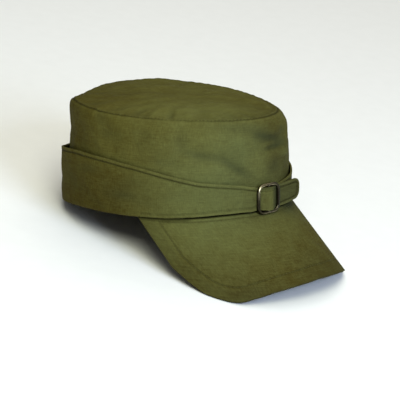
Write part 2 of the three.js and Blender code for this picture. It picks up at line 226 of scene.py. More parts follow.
@dataclass(frozen=True)
class Stance:
    """How the level cap stands in the frame."""

    lean: float = math.radians(13.355)
    shift: tuple[float, float, float] = (0.0, 23.89, 31.56)

    def turned(self, directions: Array) -> Array:
        """Directions of the cap's frame after the lean.

        Args:
            directions: Directions of the cap's frame.

        Returns:
            The same in the frame of the scene.
        """
        x, y, z = np.moveaxis(directions, -1, 0)
        cos, sin = math.cos(self.lean), math.sin(self.lean)
        return np.stack((x, y * cos + z * sin, z * cos - y * sin), axis=-1)

    def placed(self, points: Array) -> Array:
        """Points of the cap's frame in the frame's metres."""
        return (self.turned(points) + np.array(self.shift)) * MM


@dataclass(frozen=True)
class CapShape:
    """The surfaces that the cap's pieces share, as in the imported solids."""

    half_length: float = 103.0
    half_width: float = 85.5
    seam_height: float = 85.3
    seam_lean: float = 3.8
    seam_saddle: float = 1.1
    top_rise: float = 3.0
    top_flatness: float = 3.2
    sag_inward: float = 5.0
    peak_slope: float = math.radians(42.5)
    peak_fan: float = 0.04
    peak_lip: float = 1.8
    fold_from: float = 76.0
    fold_full: float = 84.0
    fold_depth: float = 2.0
    fold_squareness: float = 0.5
    sections: Table = Table(
        ("share", "size", "egg"),
        (
            (0, 0.996, 0),
            (0.35, 1, 0),
            (0.68, 1.001, 0.005),
            (0.8, 0.999, 0.02),
            (0.88, 0.99, 0.055),
            (0.94, 0.971, 0.1),
            (1, 0.932, 0.14),
        ),
    )
    sags: Table = Table(
        ("angle", "wide", "drop"),
        ((-162.0, 20.0, 6.2), (55.0, 30.0, 1.3), (168.0, 20.0, 1.0)),
    )
    crown_dents: Table = Table(
        DENT_COLUMNS,
        (
            (2, 58, 20, 7, 0.28, 2.4),
            (-26, 50, 15, 12, -0.5, 1.6),
            (-60, 66, 22, 9, 0.05, 1),
            (-108, 60, 16, 14, 0.2, 1.2),
            (48, 60, 18, 9, -0.2, 1.8),
            (105, 64, 24, 10, 0.1, 1.4),
            (178, 70, 20, 10, 0, 1.3),
        ),
    )
    flap: Table = Table(
        ("angle", "bottom", "top", "stand"),
        (
            (20, 5.1, 27.8, 2.9),
            (34, 4.1, 30.4, 1.3),
            (44, 2.6, 31.8, 0.8),
            (54, 1.2, 35.2, 0.9),
            (64, 0.3, 38.8, 1.4),
            (74, 0.3, 42.3, 2.1),
            (84, 0.1, 44.5, 2.9),
            (97, -0.2, 46.6, 3.8),
            (113, -1.2, 47, 5),
            (128, -3.2, 45.2, 6),
            (145, -5.6, 41, 6.5),
            (160, -6.8, 37.6, 6.6),
            (180, -7.2, 36.4, 6.6),
        ),
    )
    peak: Table = Table(
        ("angle", "length", "rise"),
        (
            (0, 70.8, 3.7),
            (15, 73, 3.8),
            (30, 77.4, 3.1),
            (42, 83.2, 1.7),
            (54, 88.3, 0.6),
            (64, 85.4, 0),
            (70, 73.8, 0),
            (75, 54.8, 0),
        ),
    )

    def seam(self, angle: Array, radius: Array | float = 1.0) -> Array:
        """Height of the top over the rim, at its seam or at a smaller radius.

        Args:
            angle: Angles round the head, in radians.
            radius: Share of the way from the middle to the seam.

        Returns:
            The heights, in millimetres.
        """
        saddle = self.seam_saddle * np.cos(2 * angle) * radius**2
        height = self.seam_height - self.seam_lean * np.cos(angle) * radius + saddle
        for sag in self.sags.named_rows():
            near = bell(degrees_past(sag["angle"], angle), 0, sag["wide"])
            height = height - sag["drop"] * near * radius**self.sag_inward
        return height

    def oval(self, angle: Array, size: Array, egg: Array, height: Array) -> Array:
        """Points of the oval of a given size, drawn in at the front by the egg shape.

        Args:
            angle: Angles round the head, in radians.
            size: Size against the rim's oval.
            egg: How much narrower the oval is in front.
            height: Heights of the points.

        Returns:
            The points, in the cap's millimetres.
        """
        x = self.half_width * size * np.sin(angle) * (1 - egg * np.cos(angle))
        y = -self.half_length * size * np.cos(angle)
        return np.stack(np.broadcast_arrays(x, y, height), axis=-1)

    def oval_out(self, angle: Array) -> Array:
        """The level way straight out from the oval.

        Args:
            angle: Angles round the head, in radians.

        Returns:
            Unit directions.
        """
        x, y = np.sin(angle) / self.half_width, -np.cos(angle) / self.half_length
        long = np.hypot(x, y)
        return np.stack((x / long, y / long, np.zeros_like(x)), axis=-1)

    def crown_face(self, angle: Array, share: Array) -> Array:
        """The outside of the crown's side, from the rim (share 0) to the top seam (share 1).

        Args:
            angle: Angles round the head, in radians.
            share: Share of the way up.

        Returns:
            The points, in the cap's millimetres.
        """
        height = share * self.seam(angle)
        size, egg = (self.sections.read(name, share) for name in ("size", "egg"))
        point = self.oval(angle, size, egg, height)
        level = point * (1, 1, 0)
        inward = -level / np.linalg.norm(level, axis=-1, keepdims=True)
        return point + inward * dents(self.crown_dents, angle, height)[..., None]

    def top_face(self, angle: Array, radius: Array) -> Array:
        """The outside of the top panel, from its middle (radius 0) to its seam (radius 1).

        Args:
            angle: Angles round the head, in radians.
            radius: Share of the way out.

        Returns:
            The points, in the cap's millimetres.
        """
        size, egg = (self.sections.column(name)[-1] for name in ("size", "egg"))
        dome = self.top_rise * (1 - radius**self.top_flatness)
        return self.oval(angle, size * radius, egg * radius, self.seam(angle, radius) + dome)

    def peak_section(self, angle: Array) -> tuple[Array, Array]:
        """Length of the peak where it is sewn on, and how far its seam rises there."""
        degrees = np.abs(np.degrees(angle))
        return self.peak.read("length", degrees), self.peak.read("rise", degrees)

    def peak_face(self, angle: Array, length: Array) -> Array:
        """The upper face of the peak, by how far down its slope from the crown.

        Args:
            angle: Angles round the head, in radians.
            length: How far down the slope, in millimetres.

        Returns:
            The points, in the cap's millimetres.
        """
        heading, level = angle * self.peak_fan, math.cos(self.peak_slope) * length
        full, rise = self.peak_section(angle)
        zero = np.zeros_like(level)
        down = np.stack((np.sin(heading) * level, -np.cos(heading) * level, zero), axis=-1)
        height = rise - SEWN_GAP - (math.sin(self.peak_slope) + rise / full) * length
        root = self.oval(angle, 1.0, 0.0, height) + self.oval_out(angle) * self.peak_lip
        return root + down

    def flap_curl(self, degrees: Array) -> Array:
        """How far round the flap is folded under the crown, in radians."""
        return math.pi * smoothstep(degrees, self.fold_from, self.fold_full)

    def fold_half(self, degrees: Array) -> Array:
        """Half the width of the fold that turns the flap up."""
        return (self.flap.read("stand", degrees) + (FLAP_CLOTH + CROWN_CLOTH) / 2) / 2

    def fold_point(self, turn: Array, half: Array) -> tuple[Array, Array]:
        """How far inwards and down a point round the fold lies from the foot of the wall.

        Args:
            turn: How far round the fold, in radians.
            half: Half the fold's width.

        Returns:
            The distances inwards and down.
        """
        cos, sin = np.cos(turn), np.sin(turn)
        inward = half * (1 - np.sign(cos) * np.abs(cos) ** self.fold_squareness)
        return inward, self.fold_depth * np.sign(sin) * np.abs(sin) ** self.fold_squareness

    def crown_bottom(self, degrees: Array) -> Array:
        """Lower edge of the crown's side: on the flap's fold behind, on the peak in front.

        Args:
            degrees: Degrees from the front, to either side.

        Returns:
            Heights over the rim, in millimetres.
        """
        folded = smoothstep(degrees, self.fold_from - 4, self.fold_from)
        edge = self.flap.read("bottom", degrees) + self.fold_depth + SEWN_GAP
        rise = self.peak.read("rise", degrees)
        return rise + (edge - rise) * folded


@dataclass(frozen=True)
class PaintedLightAndFading:
    """Painted light and shade on the cloth, with some bleaching by sun and wear, in the cap's own frame.

    The spots say how much light or shade they paint and how much lit tint they give its green. About half
    of these strengths began as a fit to the photograph's colours, made outside this script.
    """

    least: tuple[float, float] = (0.26, 0.04)
    spots: Table = Table(
        ("x", "y", "z", "reach", "light", "lit_tint"),
        (
            (-45, -88, 18, 70, 0.56, 0.23),
            (-30, -125, -30, 50, -0.03, -0.06),
            (12, -178, -62, 60, -0.31, 0.13),
            (-72, -138, -68, 38, -0.2, 0.08),
            (-20, -44, 88, 45, 0.51, 0.01),
            (10, 40, 88, 50, 0.12, 0),
            (-82, 10, 64, 32, 0.3, -0.03),
            (-82, 5, 15, 32, -0.17, 0.02),
            (-75, 40, -5, 40, -0.1, 0),
            (35, -92, 12, 30, -0.2, 0.12),
            (-37, -95, 40, 20, -0.21, 0.01),
            (-23, -103, 9, 16, -0.27, 0),
            (-35, -94, 77, 22, -0.15, 0.03),
            (5, -103, 69, 22, -0.2, 0.03),
            (8, -102, 37, 20, -0.2, 0),
            (27, -98, 50, 18, -0.07, 0.04),
            (-31, -97, 60, 16, 0.16, 0.04),
            (-75, -68, -8, 22, 0.2, 0),
            (-54, -9, 87, 16, 0.22, 0),
            (-56, -41, 86, 12, 0.2, 0),
            (-88, -85, -42, 28, -0.14, 0),
            (62, 50, 45, 70, 0.35, 0.02),
            (56, -11, 87, 30, 0.18, 0),
        ),
    )

    def at(self, points: Array) -> tuple[Array, Array]:
        """How light the cloth is painted and how much lit tint it takes at some points, both from about 0
        to 1.

        Args:
            points: Places in the cap's frame, in millimetres.

        Returns:
            How light the cloth is painted there, and how much lit tint it takes.
        """
        light, lit_tint = (np.full(points.shape[:-1], least) for least in self.least)
        # Each spot paints light or shade round a point, and gives or takes some of the lit tint.
        for spot in self.spots.named_rows():
            away = points - np.array((spot["x"], spot["y"], spot["z"]))
            near = bell(np.linalg.norm(away, axis=-1), 0, spot["reach"])
            light += spot["light"] * near
            lit_tint += spot["lit_tint"] * near
        return light, lit_tint


@dataclass
class ClothGrid:
    """Points of a sheet of cloth, in rows up it and columns along it, all in millimetres.

    Attributes:
        points: The cloth's face, of rows by columns by 3.
        along: Length along the cloth, for its weave.
        up: Length up the cloth, for its weave.
        stitch: How far inwards of the nearest line of stitches a point lies, below 0 outwards.
        worn: How much lighter the cloth is, from 0 to 1: rubbed in part, and a painted highlight on edges
            in part.
        relief: How far the outer face is raised.
        seam: How dark seams and joints leave the cloth, with painted shade at the wall's foot and along
            edges, from 0 to 1.
        pressed: How far folds push the cloth in, with painted shadows counted in the same millimetres;
            the cloth is painted darker there, and painted lighter where it is below 0.
        faint: Millimetres over which a line of stitches hardly marks the cloth.
    """

    points: Array
    along: Array
    up: Array
    stitch: Array
    worn: Array
    relief: Array
    seam: Array | None = None
    pressed: Array | None = None
    faint: Array | None = None

    def __post_init__(self) -> None:
        """Leaves what isn't given at 0 all over the sheet."""
        for name in ("seam", "pressed", "faint"):
            if getattr(self, name) is None:
                setattr(self, name, np.zeros_like(self.stitch))

    def marks(self) -> dict[str, Array]:
        """What the finish reads at each point, by the attribute's name.

        Returns:
            Numbers in rows by columns, under each name.
        """
        faded, lit_tint = PaintedLightAndFading().at(self.points)
        # faded and lit_tint are painted light and shade with some fading; painted_shade is painted shade
        # in folds and shadows.
        return {
            STITCH: np.maximum(np.abs(self.stitch), self.faint),
            WEAR_AND_HIGHLIGHT: self.worn,
            RELIEF: self.relief,
            SEAM_AND_SHADE: self.seam,
            LIT_AND_FADED: faded - RAISED_LIGHT * np.minimum(self.pressed, 0),
            LIT_TINT: lit_tint,
            PAINTED_SHADE: np.clip(PRESSED_SHADE * self.pressed, 0, DEEPEST_SHADE),
        }

    def normals(self) -> Array:
        """Unit normals of the face, outwards.

        Returns:
            The normals, of rows by columns by 3.
        """
        across, up = np.gradient(self.points, axis=1), np.gradient(self.points, axis=0)
        normal = np.cross(across, up)
        return normal / np.maximum(np.linalg.norm(normal, axis=-1, keepdims=True), 1e-9)


def work_alone(piece: bpy.types.Object) -> None:
    """Makes a piece the only one that the operators work on.

    Args:
        piece: The piece.
    """
    if bpy.context.mode != "OBJECT":
        bpy.ops.object.mode_set(mode="OBJECT")
    bpy.ops.object.select_all(action="DESELECT")
    bpy.context.view_layer.objects.active = piece
    piece.select_set(True)


@contextmanager
def editing(piece: bpy.types.Object) -> Iterator[None]:
    """Edit mode on one piece, with all of it selected.

    Args:
        piece: The piece.

    Returns:
        Nothing; the edit mode lasts as long as the with block.
    """
    work_alone(piece)
    bpy.ops.object.mode_set(mode="EDIT")
    bpy.ops.mesh.select_all(action="SELECT")
    yield
    bpy.ops.object.mode_set(mode="OBJECT")


def read_vertices(mesh: bpy.types.Mesh, what: str = "co") -> Array:
    """A mesh's vertex positions, or its normals.

    Args:
        mesh: The mesh.
        what: co for positions, normal for normals.

    Returns:
        The vectors, a row for each vertex.
    """
    flat = np.zeros(len(mesh.vertices) * 3, np.float32)
    mesh.vertices.foreach_get(what, flat)
    return flat.reshape(-1, 3).astype(float)


def write_vertices(mesh: bpy.types.Mesh, positions: Array) -> None:
    """Gives a mesh's vertices new positions."""
    mesh.vertices.foreach_set("co", positions.astype(np.float32).ravel())
    mesh.update()


def add_attribute(mesh: bpy.types.Mesh, name: str, values: Array) -> None:
    """Gives every vertex a number that the finish reads."""
    attribute = mesh.attributes.new(name, "FLOAT", "POINT")
    attribute.data.foreach_set("value", values.astype(np.float32).ravel())


def read_attribute(mesh: bpy.types.Mesh, name: str) -> Array:
    """The numbers that the vertices of a mesh carry under a name.

    Args:
        mesh: The mesh.
        name: The attribute's name.

    Returns:
        A number for each vertex.
    """
    values = np.zeros(len(mesh.vertices), np.float32)
    mesh.attributes[name].data.foreach_get("value", values)
    return values.astype(float)


def apply_modifier(piece: bpy.types.Object, kind: str, **settings: Any) -> None:
    """Adds a modifier to a piece and applies it.

    Args:
        piece: The piece, which is the only one selected.
        kind: The modifier's type.
        settings: Its settings by name.
    """
    modifier = piece.modifiers.new(kind.lower(), kind)
    for name, value in settings.items():
        setattr(modifier, name, value)
    bpy.ops.object.modifier_apply(modifier=modifier.name)


def lay_grid(name: str, grid: ClothGrid, stance: Stance) -> bpy.types.Object:
    """Lays a flat grid over the points of a sheet, with its weave and what its finish reads.

    Args:
        name: The new object's name.
        grid: The sheet.
        stance: How the cap stands.

    Returns:
        The sheet as an object with no thickness yet, facing outwards.
    """
    rows, columns = grid.stitch.shape
    bpy.ops.object.select_all(action="DESELECT")
    bpy.ops.mesh.primitive_grid_add(x_subdivisions=columns - 1, y_subdivisions=rows - 1, size=1)
    piece = bpy.context.active_object
    piece.name = piece.data.name = name
    mesh = piece.data
    flat = read_vertices(mesh)
    i = np.rint((flat[:, 0] + 0.5) * (columns - 1)).astype(int)
    j = np.rint((flat[:, 1] + 0.5) * (rows - 1)).astype(int)
    write_vertices(mesh, stance.placed(grid.points[j, i]))
    for mark, values in grid.marks().items():
        add_attribute(mesh, mark, values[j, i])

    # The weave is drawn in the cloth's own metres.
    corner = np.zeros(len(mesh.loops), np.int32)
    mesh.loops.foreach_get("vertex_index", corner)
    weave = np.stack((grid.along[j, i], grid.up[j, i]), axis=-1)[corner] * MM
    mesh.uv_layers[0].name = CLOTH_UV
    mesh.uv_layers[0].data.foreach_set("uv", weave.astype(np.float32).ravel())

    with editing(piece):
        bpy.ops.mesh.remove_doubles(threshold=WELD)
        bpy.ops.mesh.normals_make_consistent(inside=False)
    outward = read_vertices(mesh) - stance.placed(np.array(CAP_MIDDLE))
    if np.sum(outward * read_vertices(mesh, "normal")) < 0:
        with editing(piece):
            bpy.ops.mesh.flip_normals()
    return piece


def edge_rounded(piece: bpy.types.Object, radius: float, segments: int, limit: float) -> None:
    """Rounds a piece's sharp edges and shades the rest smooth.

    Args:
        piece: The piece, which is the only one selected.
        radius: The rounding's radius in millimetres.
        segments: Faces across the rounding.
        limit: Edges sharper than this angle are rounded, in radians.
    """
    bevel = {"width": radius * MM, "segments": segments, "limit_method": "ANGLE", "angle_limit": limit}
    apply_modifier(piece, "BEVEL", **bevel)
    bpy.ops.object.shade_smooth_by_angle(angle=SMOOTH_ANGLE)


def stand(places: Array, count: int) -> Array:
    """Lifts what lies below the ground, with the cloth's other face.

    Args:
        places: Vertices of one face of a sheet, then as many of the other, in metres.
        count: How many one face has.

    Returns:
        The vertices, on the ground or above it.
    """
    sunk = np.maximum(-np.minimum(places[:count, 2], places[count:, 2]), 0)
    places[:, 2] += np.tile(sunk, 2)
    return places


def thicken(piece: bpy.types.Object, cloth: float, offset: float, rounding: float) -> None:
    """Gives a sheet its thickness, raises its outer face and stands it on the ground.

    Args:
        piece: The sheet.
        cloth: Thickness in millimetres.
        offset: -1 where the sheet is the outer face, 0 where it is the middle of the cloth.
        rounding: Radius of the cloth's edges in millimetres.
    """
    mesh = piece.data
    normals, count = read_vertices(mesh, "normal"), len(mesh.vertices)
    apply_modifier(piece, "SOLIDIFY", thickness=cloth * MM, offset=offset, use_rim=True)
    places = read_vertices(mesh)
    places[:count] += normals * read_attribute(mesh, RELIEF)[:count, None] * MM
    write_vertices(mesh, stand(places, count))
    edge_rounded(piece, rounding, 2, SQUARE_EDGE)


def zero_lines(grid: ClothGrid) -> list[tuple[Array, Array]]:
    """Follows the lines of stitches over a sheet, where its stitch distance is 0.

    Args:
        grid: The sheet.

    Returns:
        Each line as its points and the normals there.
    """
    values, points, normals = grid.stitch, grid.points, grid.normals()
    inside = values > 0
    changes = (inside[:-1, :-1] != inside[:-1, 1:]) | (inside[:-1, :-1] != inside[1:, :-1])
    changes |= (inside[1:, 1:] != inside[:-1, 1:]) | (inside[1:, 1:] != inside[1:, :-1])
    joined: dict[tuple, list[tuple]] = defaultdict(list)
    for j, i in np.argwhere(changes):
        corners = [(j, i), (j, i + 1), (j + 1, i + 1), (j + 1, i)]
        sides = [tuple(sorted((corners[k], corners[(k + 1) % 4]))) for k in range(4)]
        cut = [side for side in sides if inside[side[0]] != inside[side[1]]]
        if len(cut) == 2:
            joined[cut[0]].append(cut[1])
            joined[cut[1]].append(cut[0])

    def crossing(side: tuple, source: Array) -> Array:
        """Where the line cuts one side of a cell.

        Args:
            side: The side's two ends, as rows and columns.
            source: Points or normals of the sheet.

        Returns:
            The source's value where the line cuts the side.
        """
        start, end = side
        share = values[start] / (values[start] - values[end])
        return source[start] + (source[end] - source[start]) * share

    lines, left = [], set(joined)
    while left:
        ends = [side for side in left if len(joined[side]) == 1]
        side = min(ends) if ends else min(left)
        chain = []
        while side is not None:
            chain.append(side)
            left.discard(side)
            side = next((other for other in joined[side] if other in left), None)
        if not ends:
            chain.append(chain[0])
        places = np.array([crossing(one, points) for one in chain])
        facing = np.array([crossing(one, normals) for one in chain])
        lines.append((places, facing))
    return lines


@dataclass
class Stitching:
    """Lines of topstitching, each stitch a grain of thread between two holes."""

    stance: Stance
    length: float = 2.5
    pitch: float = 3.2
    width: float = 0.5
    height: float = 0.34
    shortest_line: float = 12.0
    heading_reach: float = 0.6

    def grain(self) -> bpy.types.Object:
        """One stitch along X at the origin, in metres.

        Returns:
            The stitch.
        """
        bpy.ops.object.select_all(action="DESELECT")
        bpy.ops.mesh.primitive_uv_sphere_add(segments=8, ring_count=6, radius=0.5)
        grain = bpy.context.active_object
        size = (self.length * MM, self.width * MM, self.height * MM)
        with editing(grain):
            bpy.ops.transform.rotate(value=math.pi / 2, orient_axis="Y", center_override=(0, 0, 0))
            bpy.ops.transform.resize(value=size, center_override=(0, 0, 0))
        return grain

    def places(self, line: Array, normals: Array, lift: float) -> list[Matrix]:
        """Where the stitches of one line lie.

        Args:
            line: The line's points, in the cap's millimetres.
            normals: The cloth's normals there.
            lift: How far the thread's middle is over the cloth's face, in millimetres.

        Returns:
            A matrix for each stitch, into the frame's metres.
        """
        steps = np.linalg.norm(np.diff(line, axis=0), axis=1)
        run = np.concatenate(([0.0], np.cumsum(steps)))
        if run[-1] < self.shortest_line:
            return []
        count = max(int(round(run[-1] / self.pitch)), 1)
        middles = (np.arange(count) + 0.5) * run[-1] / count

        def along(source: Array, at: Array) -> Array:
            """A source's values at lengths along the line."""
            return np.stack([np.interp(at, run, source[:, k]) for k in range(3)], axis=-1)

        reach = self.heading_reach
        ways = self.stance.turned(along(line, middles + reach) - along(line, middles - reach))
        faces = self.stance.turned(along(normals, middles))
        spots = self.stance.placed(along(line, middles) + along(normals, middles) * lift)
        matrices = []
        for way, face, spot in zip(ways, faces, spots):
            x = Vector(way).normalized()
            y = Vector(face).cross(x).normalized()
            rows = Matrix((x, y, x.cross(y))).transposed()
            matrices.append(Matrix.Translation(Vector(spot)) @ rows.to_4x4())
        return matrices

    def sewn(self, name: str, grid: ClothGrid, lift: float, floor: float = 0.0) -> bpy.types.Object:
        """Sews every line of a sheet.

        Args:
            name: The new object's name.
            grid: The sheet.
            lift: How far the thread's middle is over the sheet's points, in millimetres.
            floor: Stitches that would reach below this height in metres are left out.

        Returns:
            The stitches as one object.
        """
        grain = self.grain()
        copies = []
        for line, normals in zero_lines(grid):
            for matrix in self.places(line, normals, lift):
                if matrix.translation.z < floor:
                    continue
                copy = grain.copy()
                copy.data = grain.data.copy()
                copy.data.transform(matrix)
                bpy.context.collection.objects.link(copy)
                copies.append(copy)
        bpy.data.objects.remove(grain)
        work_alone(copies[0])
        for copy in copies:
            copy.select_set(True)
        bpy.ops.object.join()
        thread = bpy.context.active_object
        thread.name = thread.data.name = name
        bpy.ops.object.shade_smooth()
        return thread


class Term:
    """A number that a shader works out, on which Python's operators add the Math nodes."""

    def __init__(self, graph: "Graph", socket: bpy.types.NodeSocket) -> None:
        """Keeps the graph that the number belongs to and its socket."""
        self.graph = graph
        self.socket = socket

    def __add__(self, other: "Number") -> "Term":
        """The sum."""
        return self.graph.maths("ADD", self, other)

    def __sub__(self, other: "Number") -> "Term":
        """The difference."""
        return self.graph.maths("SUBTRACT", self, other)

    def __mul__(self, other: "Number") -> "Term":
        """The product."""
        return self.graph.maths("MULTIPLY", self, other)

    def __rsub__(self, other: "Number") -> "Term":
        """The difference, the other way round."""
        return self.graph.maths("SUBTRACT", other, self)

    def __neg__(self) -> "Term":
        """The negative."""
        return self * -1.0

    def __abs__(self) -> "Term":
        """The size without its sign."""
        return self.graph.maths("ABSOLUTE", self)

    __radd__ = __add__
    __rmul__ = __mul__


Number = Term | float


class Graph:
    """The nodes of one material, ending in a Principled surface."""

    def __init__(self, name: str) -> None:
        """Starts a material with its surface and output alone.

        Args:
            name: The material's name.
        """
        self.material = bpy.data.materials.new(name)
        self.material.use_nodes = True
        self.tree = self.material.node_tree
        self.tree.nodes.clear()
        self.surface = self.node("ShaderNodeBsdfPrincipled")
        self.node("ShaderNodeOutputMaterial", Surface=self.surface.outputs[0])

    def node(self, kind: str, settings: dict[str, Any] | None = None, **inputs: Any) -> bpy.types.Node:
        """Adds a node.

        Args:
            kind: The node's type.
            settings: Its settings, set before its sockets; stops are a ramp's.
            inputs: Values or links of its sockets, by name with _ for a space or by _index.

        Returns:
            The node.
        """
        node = self.tree.nodes.new(kind)
        for name, value in (settings or {}).items():
            if name == "stops":
                self.set_stops(node, value)
            else:
                setattr(node, name, value)
        for name, value in inputs.items():
            key = int(name[1:]) if name[1:].isdigit() else name.replace("_", " ")
            self.feed(node.inputs[key], value)
        return node

    def feed(self, socket: bpy.types.NodeSocket, value: Any) -> None:
        """Links a socket to another, or sets its value.

        Args:
            socket: The socket.
            value: A term, another socket, a colour or a number.
        """
        if isinstance(value, Term):
            value = value.socket
        if isinstance(value, bpy.types.NodeSocket):
            self.tree.links.new(value, socket)
        elif socket.type == "RGBA":
            socket.default_value = (*value, 1.0)
        else:
            socket.default_value = value

    def finished(self, **inputs: Any) -> bpy.types.Material:
        """Feeds the surface's sockets, named with _ for a space, and gives the material.

        Args:
            inputs: Values or links of the sockets.

        Returns:
            The material.
        """
        for name, value in inputs.items():
            self.feed(self.surface.inputs[name.replace("_", " ")], value)
        return self.material

    @staticmethod
    def set_stops(node: bpy.types.Node, stops: tuple[tuple[float, Colour], ...]) -> None:
        """Gives a ramp its stops, each a place and a colour.

        Args:
            node: The ramp.
            stops: Its stops.
        """
        elements = node.color_ramp.elements
        while len(elements) < len(stops):
            elements.new(1.0)
        for element, (place, colour) in zip(elements, stops):
            element.position = place
            element.color = (*colour, 1.0)

    def maths(self, operation: str, *terms: Number) -> Term:
        """A Math node of an operation on some terms."""
        inputs = {f"_{i}": term for i, term in enumerate(terms)}
        return Term(self, self.node("ShaderNodeMath", {"operation": operation}, **inputs).outputs[0])

    def mixed(self, terms: dict[str, Term], shares: Shares) -> Term:
        """The sum of some terms, each times its share.

        Args:
            terms: The terms by name.
            shares: Names with what each is multiplied by.

        Returns:
            The sum.
        """
        first, *rest = (terms[name] * share for name, share in shares)
        for term in rest:
            first = first + term
        return first

    def held(self, term: Number) -> Term:
        """A term held between 0 and 1."""
        return self.maths("MINIMUM", self.maths("MAXIMUM", term, 0.0), 1.0)

    def falloff(self, term: Term, reach: float) -> Term:
        """A bell curve round 0 with a reach to each side."""
        near = term * (1.0 / reach)
        return self.maths("EXPONENT", -(near * near))

    def attribute(self, name: str) -> Term:
        """A number that the vertices carry."""
        node = self.node("ShaderNodeAttribute", {"attribute_name": name})
        return Term(self, node.outputs["Fac"])

    def place(self, scale: tuple[float, float, float], uv: str | None = None) -> bpy.types.NodeSocket:
        """Object coordinates, or those of a UV map, times a scale.

        Args:
            scale: What the coordinates are multiplied by.
            uv: The UV map's name, if any.

        Returns:
            The coordinates.
        """
        if uv:
            source = self.node("ShaderNodeUVMap", {"uv_map": uv}).outputs[0]
        else:
            source = self.node("ShaderNodeTexCoord").outputs["Object"]
        return self.node("ShaderNodeMapping", Vector=source, Scale=scale).outputs[0]

    def split(self, vector: bpy.types.NodeSocket) -> tuple[Term, Term]:
        """The first two numbers of a vector."""
        parts = self.node("ShaderNodeSeparateXYZ", Vector=vector)
        return Term(self, parts.outputs[0]), Term(self, parts.outputs[1])

    def noise(self, vector: bpy.types.NodeSocket, detail: float = 2.0, distortion: float = 0.0) -> Term:
        """Noise round 0, about 1 from its lowest to its highest."""
        inputs = {"Vector": vector, "Scale": 1.0, "Detail": detail, "Distortion": distortion}
        return Term(self, self.node("ShaderNodeTexNoise", **inputs).outputs[0]) - 0.5

    def grains(self, grains: tuple["Grain", ...]) -> dict[str, Term]:
        """The noises of a finish by name."""
        places = {grain.name: self.place(grain.scale, grain.uv) for grain in grains}
        return {one.name: self.noise(places[one.name], one.detail, one.distortion) for one in grains}

    def blend(self, share: Number, first: Any, second: Any) -> bpy.types.NodeSocket:
        """A mix of two colours."""
        inputs = {"_0": share, "_6": first, "_7": second}
        return self.node("ShaderNodeMix", {"data_type": "RGBA"}, **inputs).outputs[2]

    def bumped(self, height: Term, strength: float) -> bpy.types.NodeSocket:
        """The normal over a height in millimetres."""
        return self.node("ShaderNodeBump", Strength=strength, Distance=MM, Height=height).outputs[0]


@dataclass(frozen=True)
class Grain:
    """A noise of a finish, its scale per metre; a UV map's name draws it in that map."""

    name: str
    scale: tuple[float, float, float]
    detail: float = 2.0
    distortion: float = 0.0
    uv: str | None = None


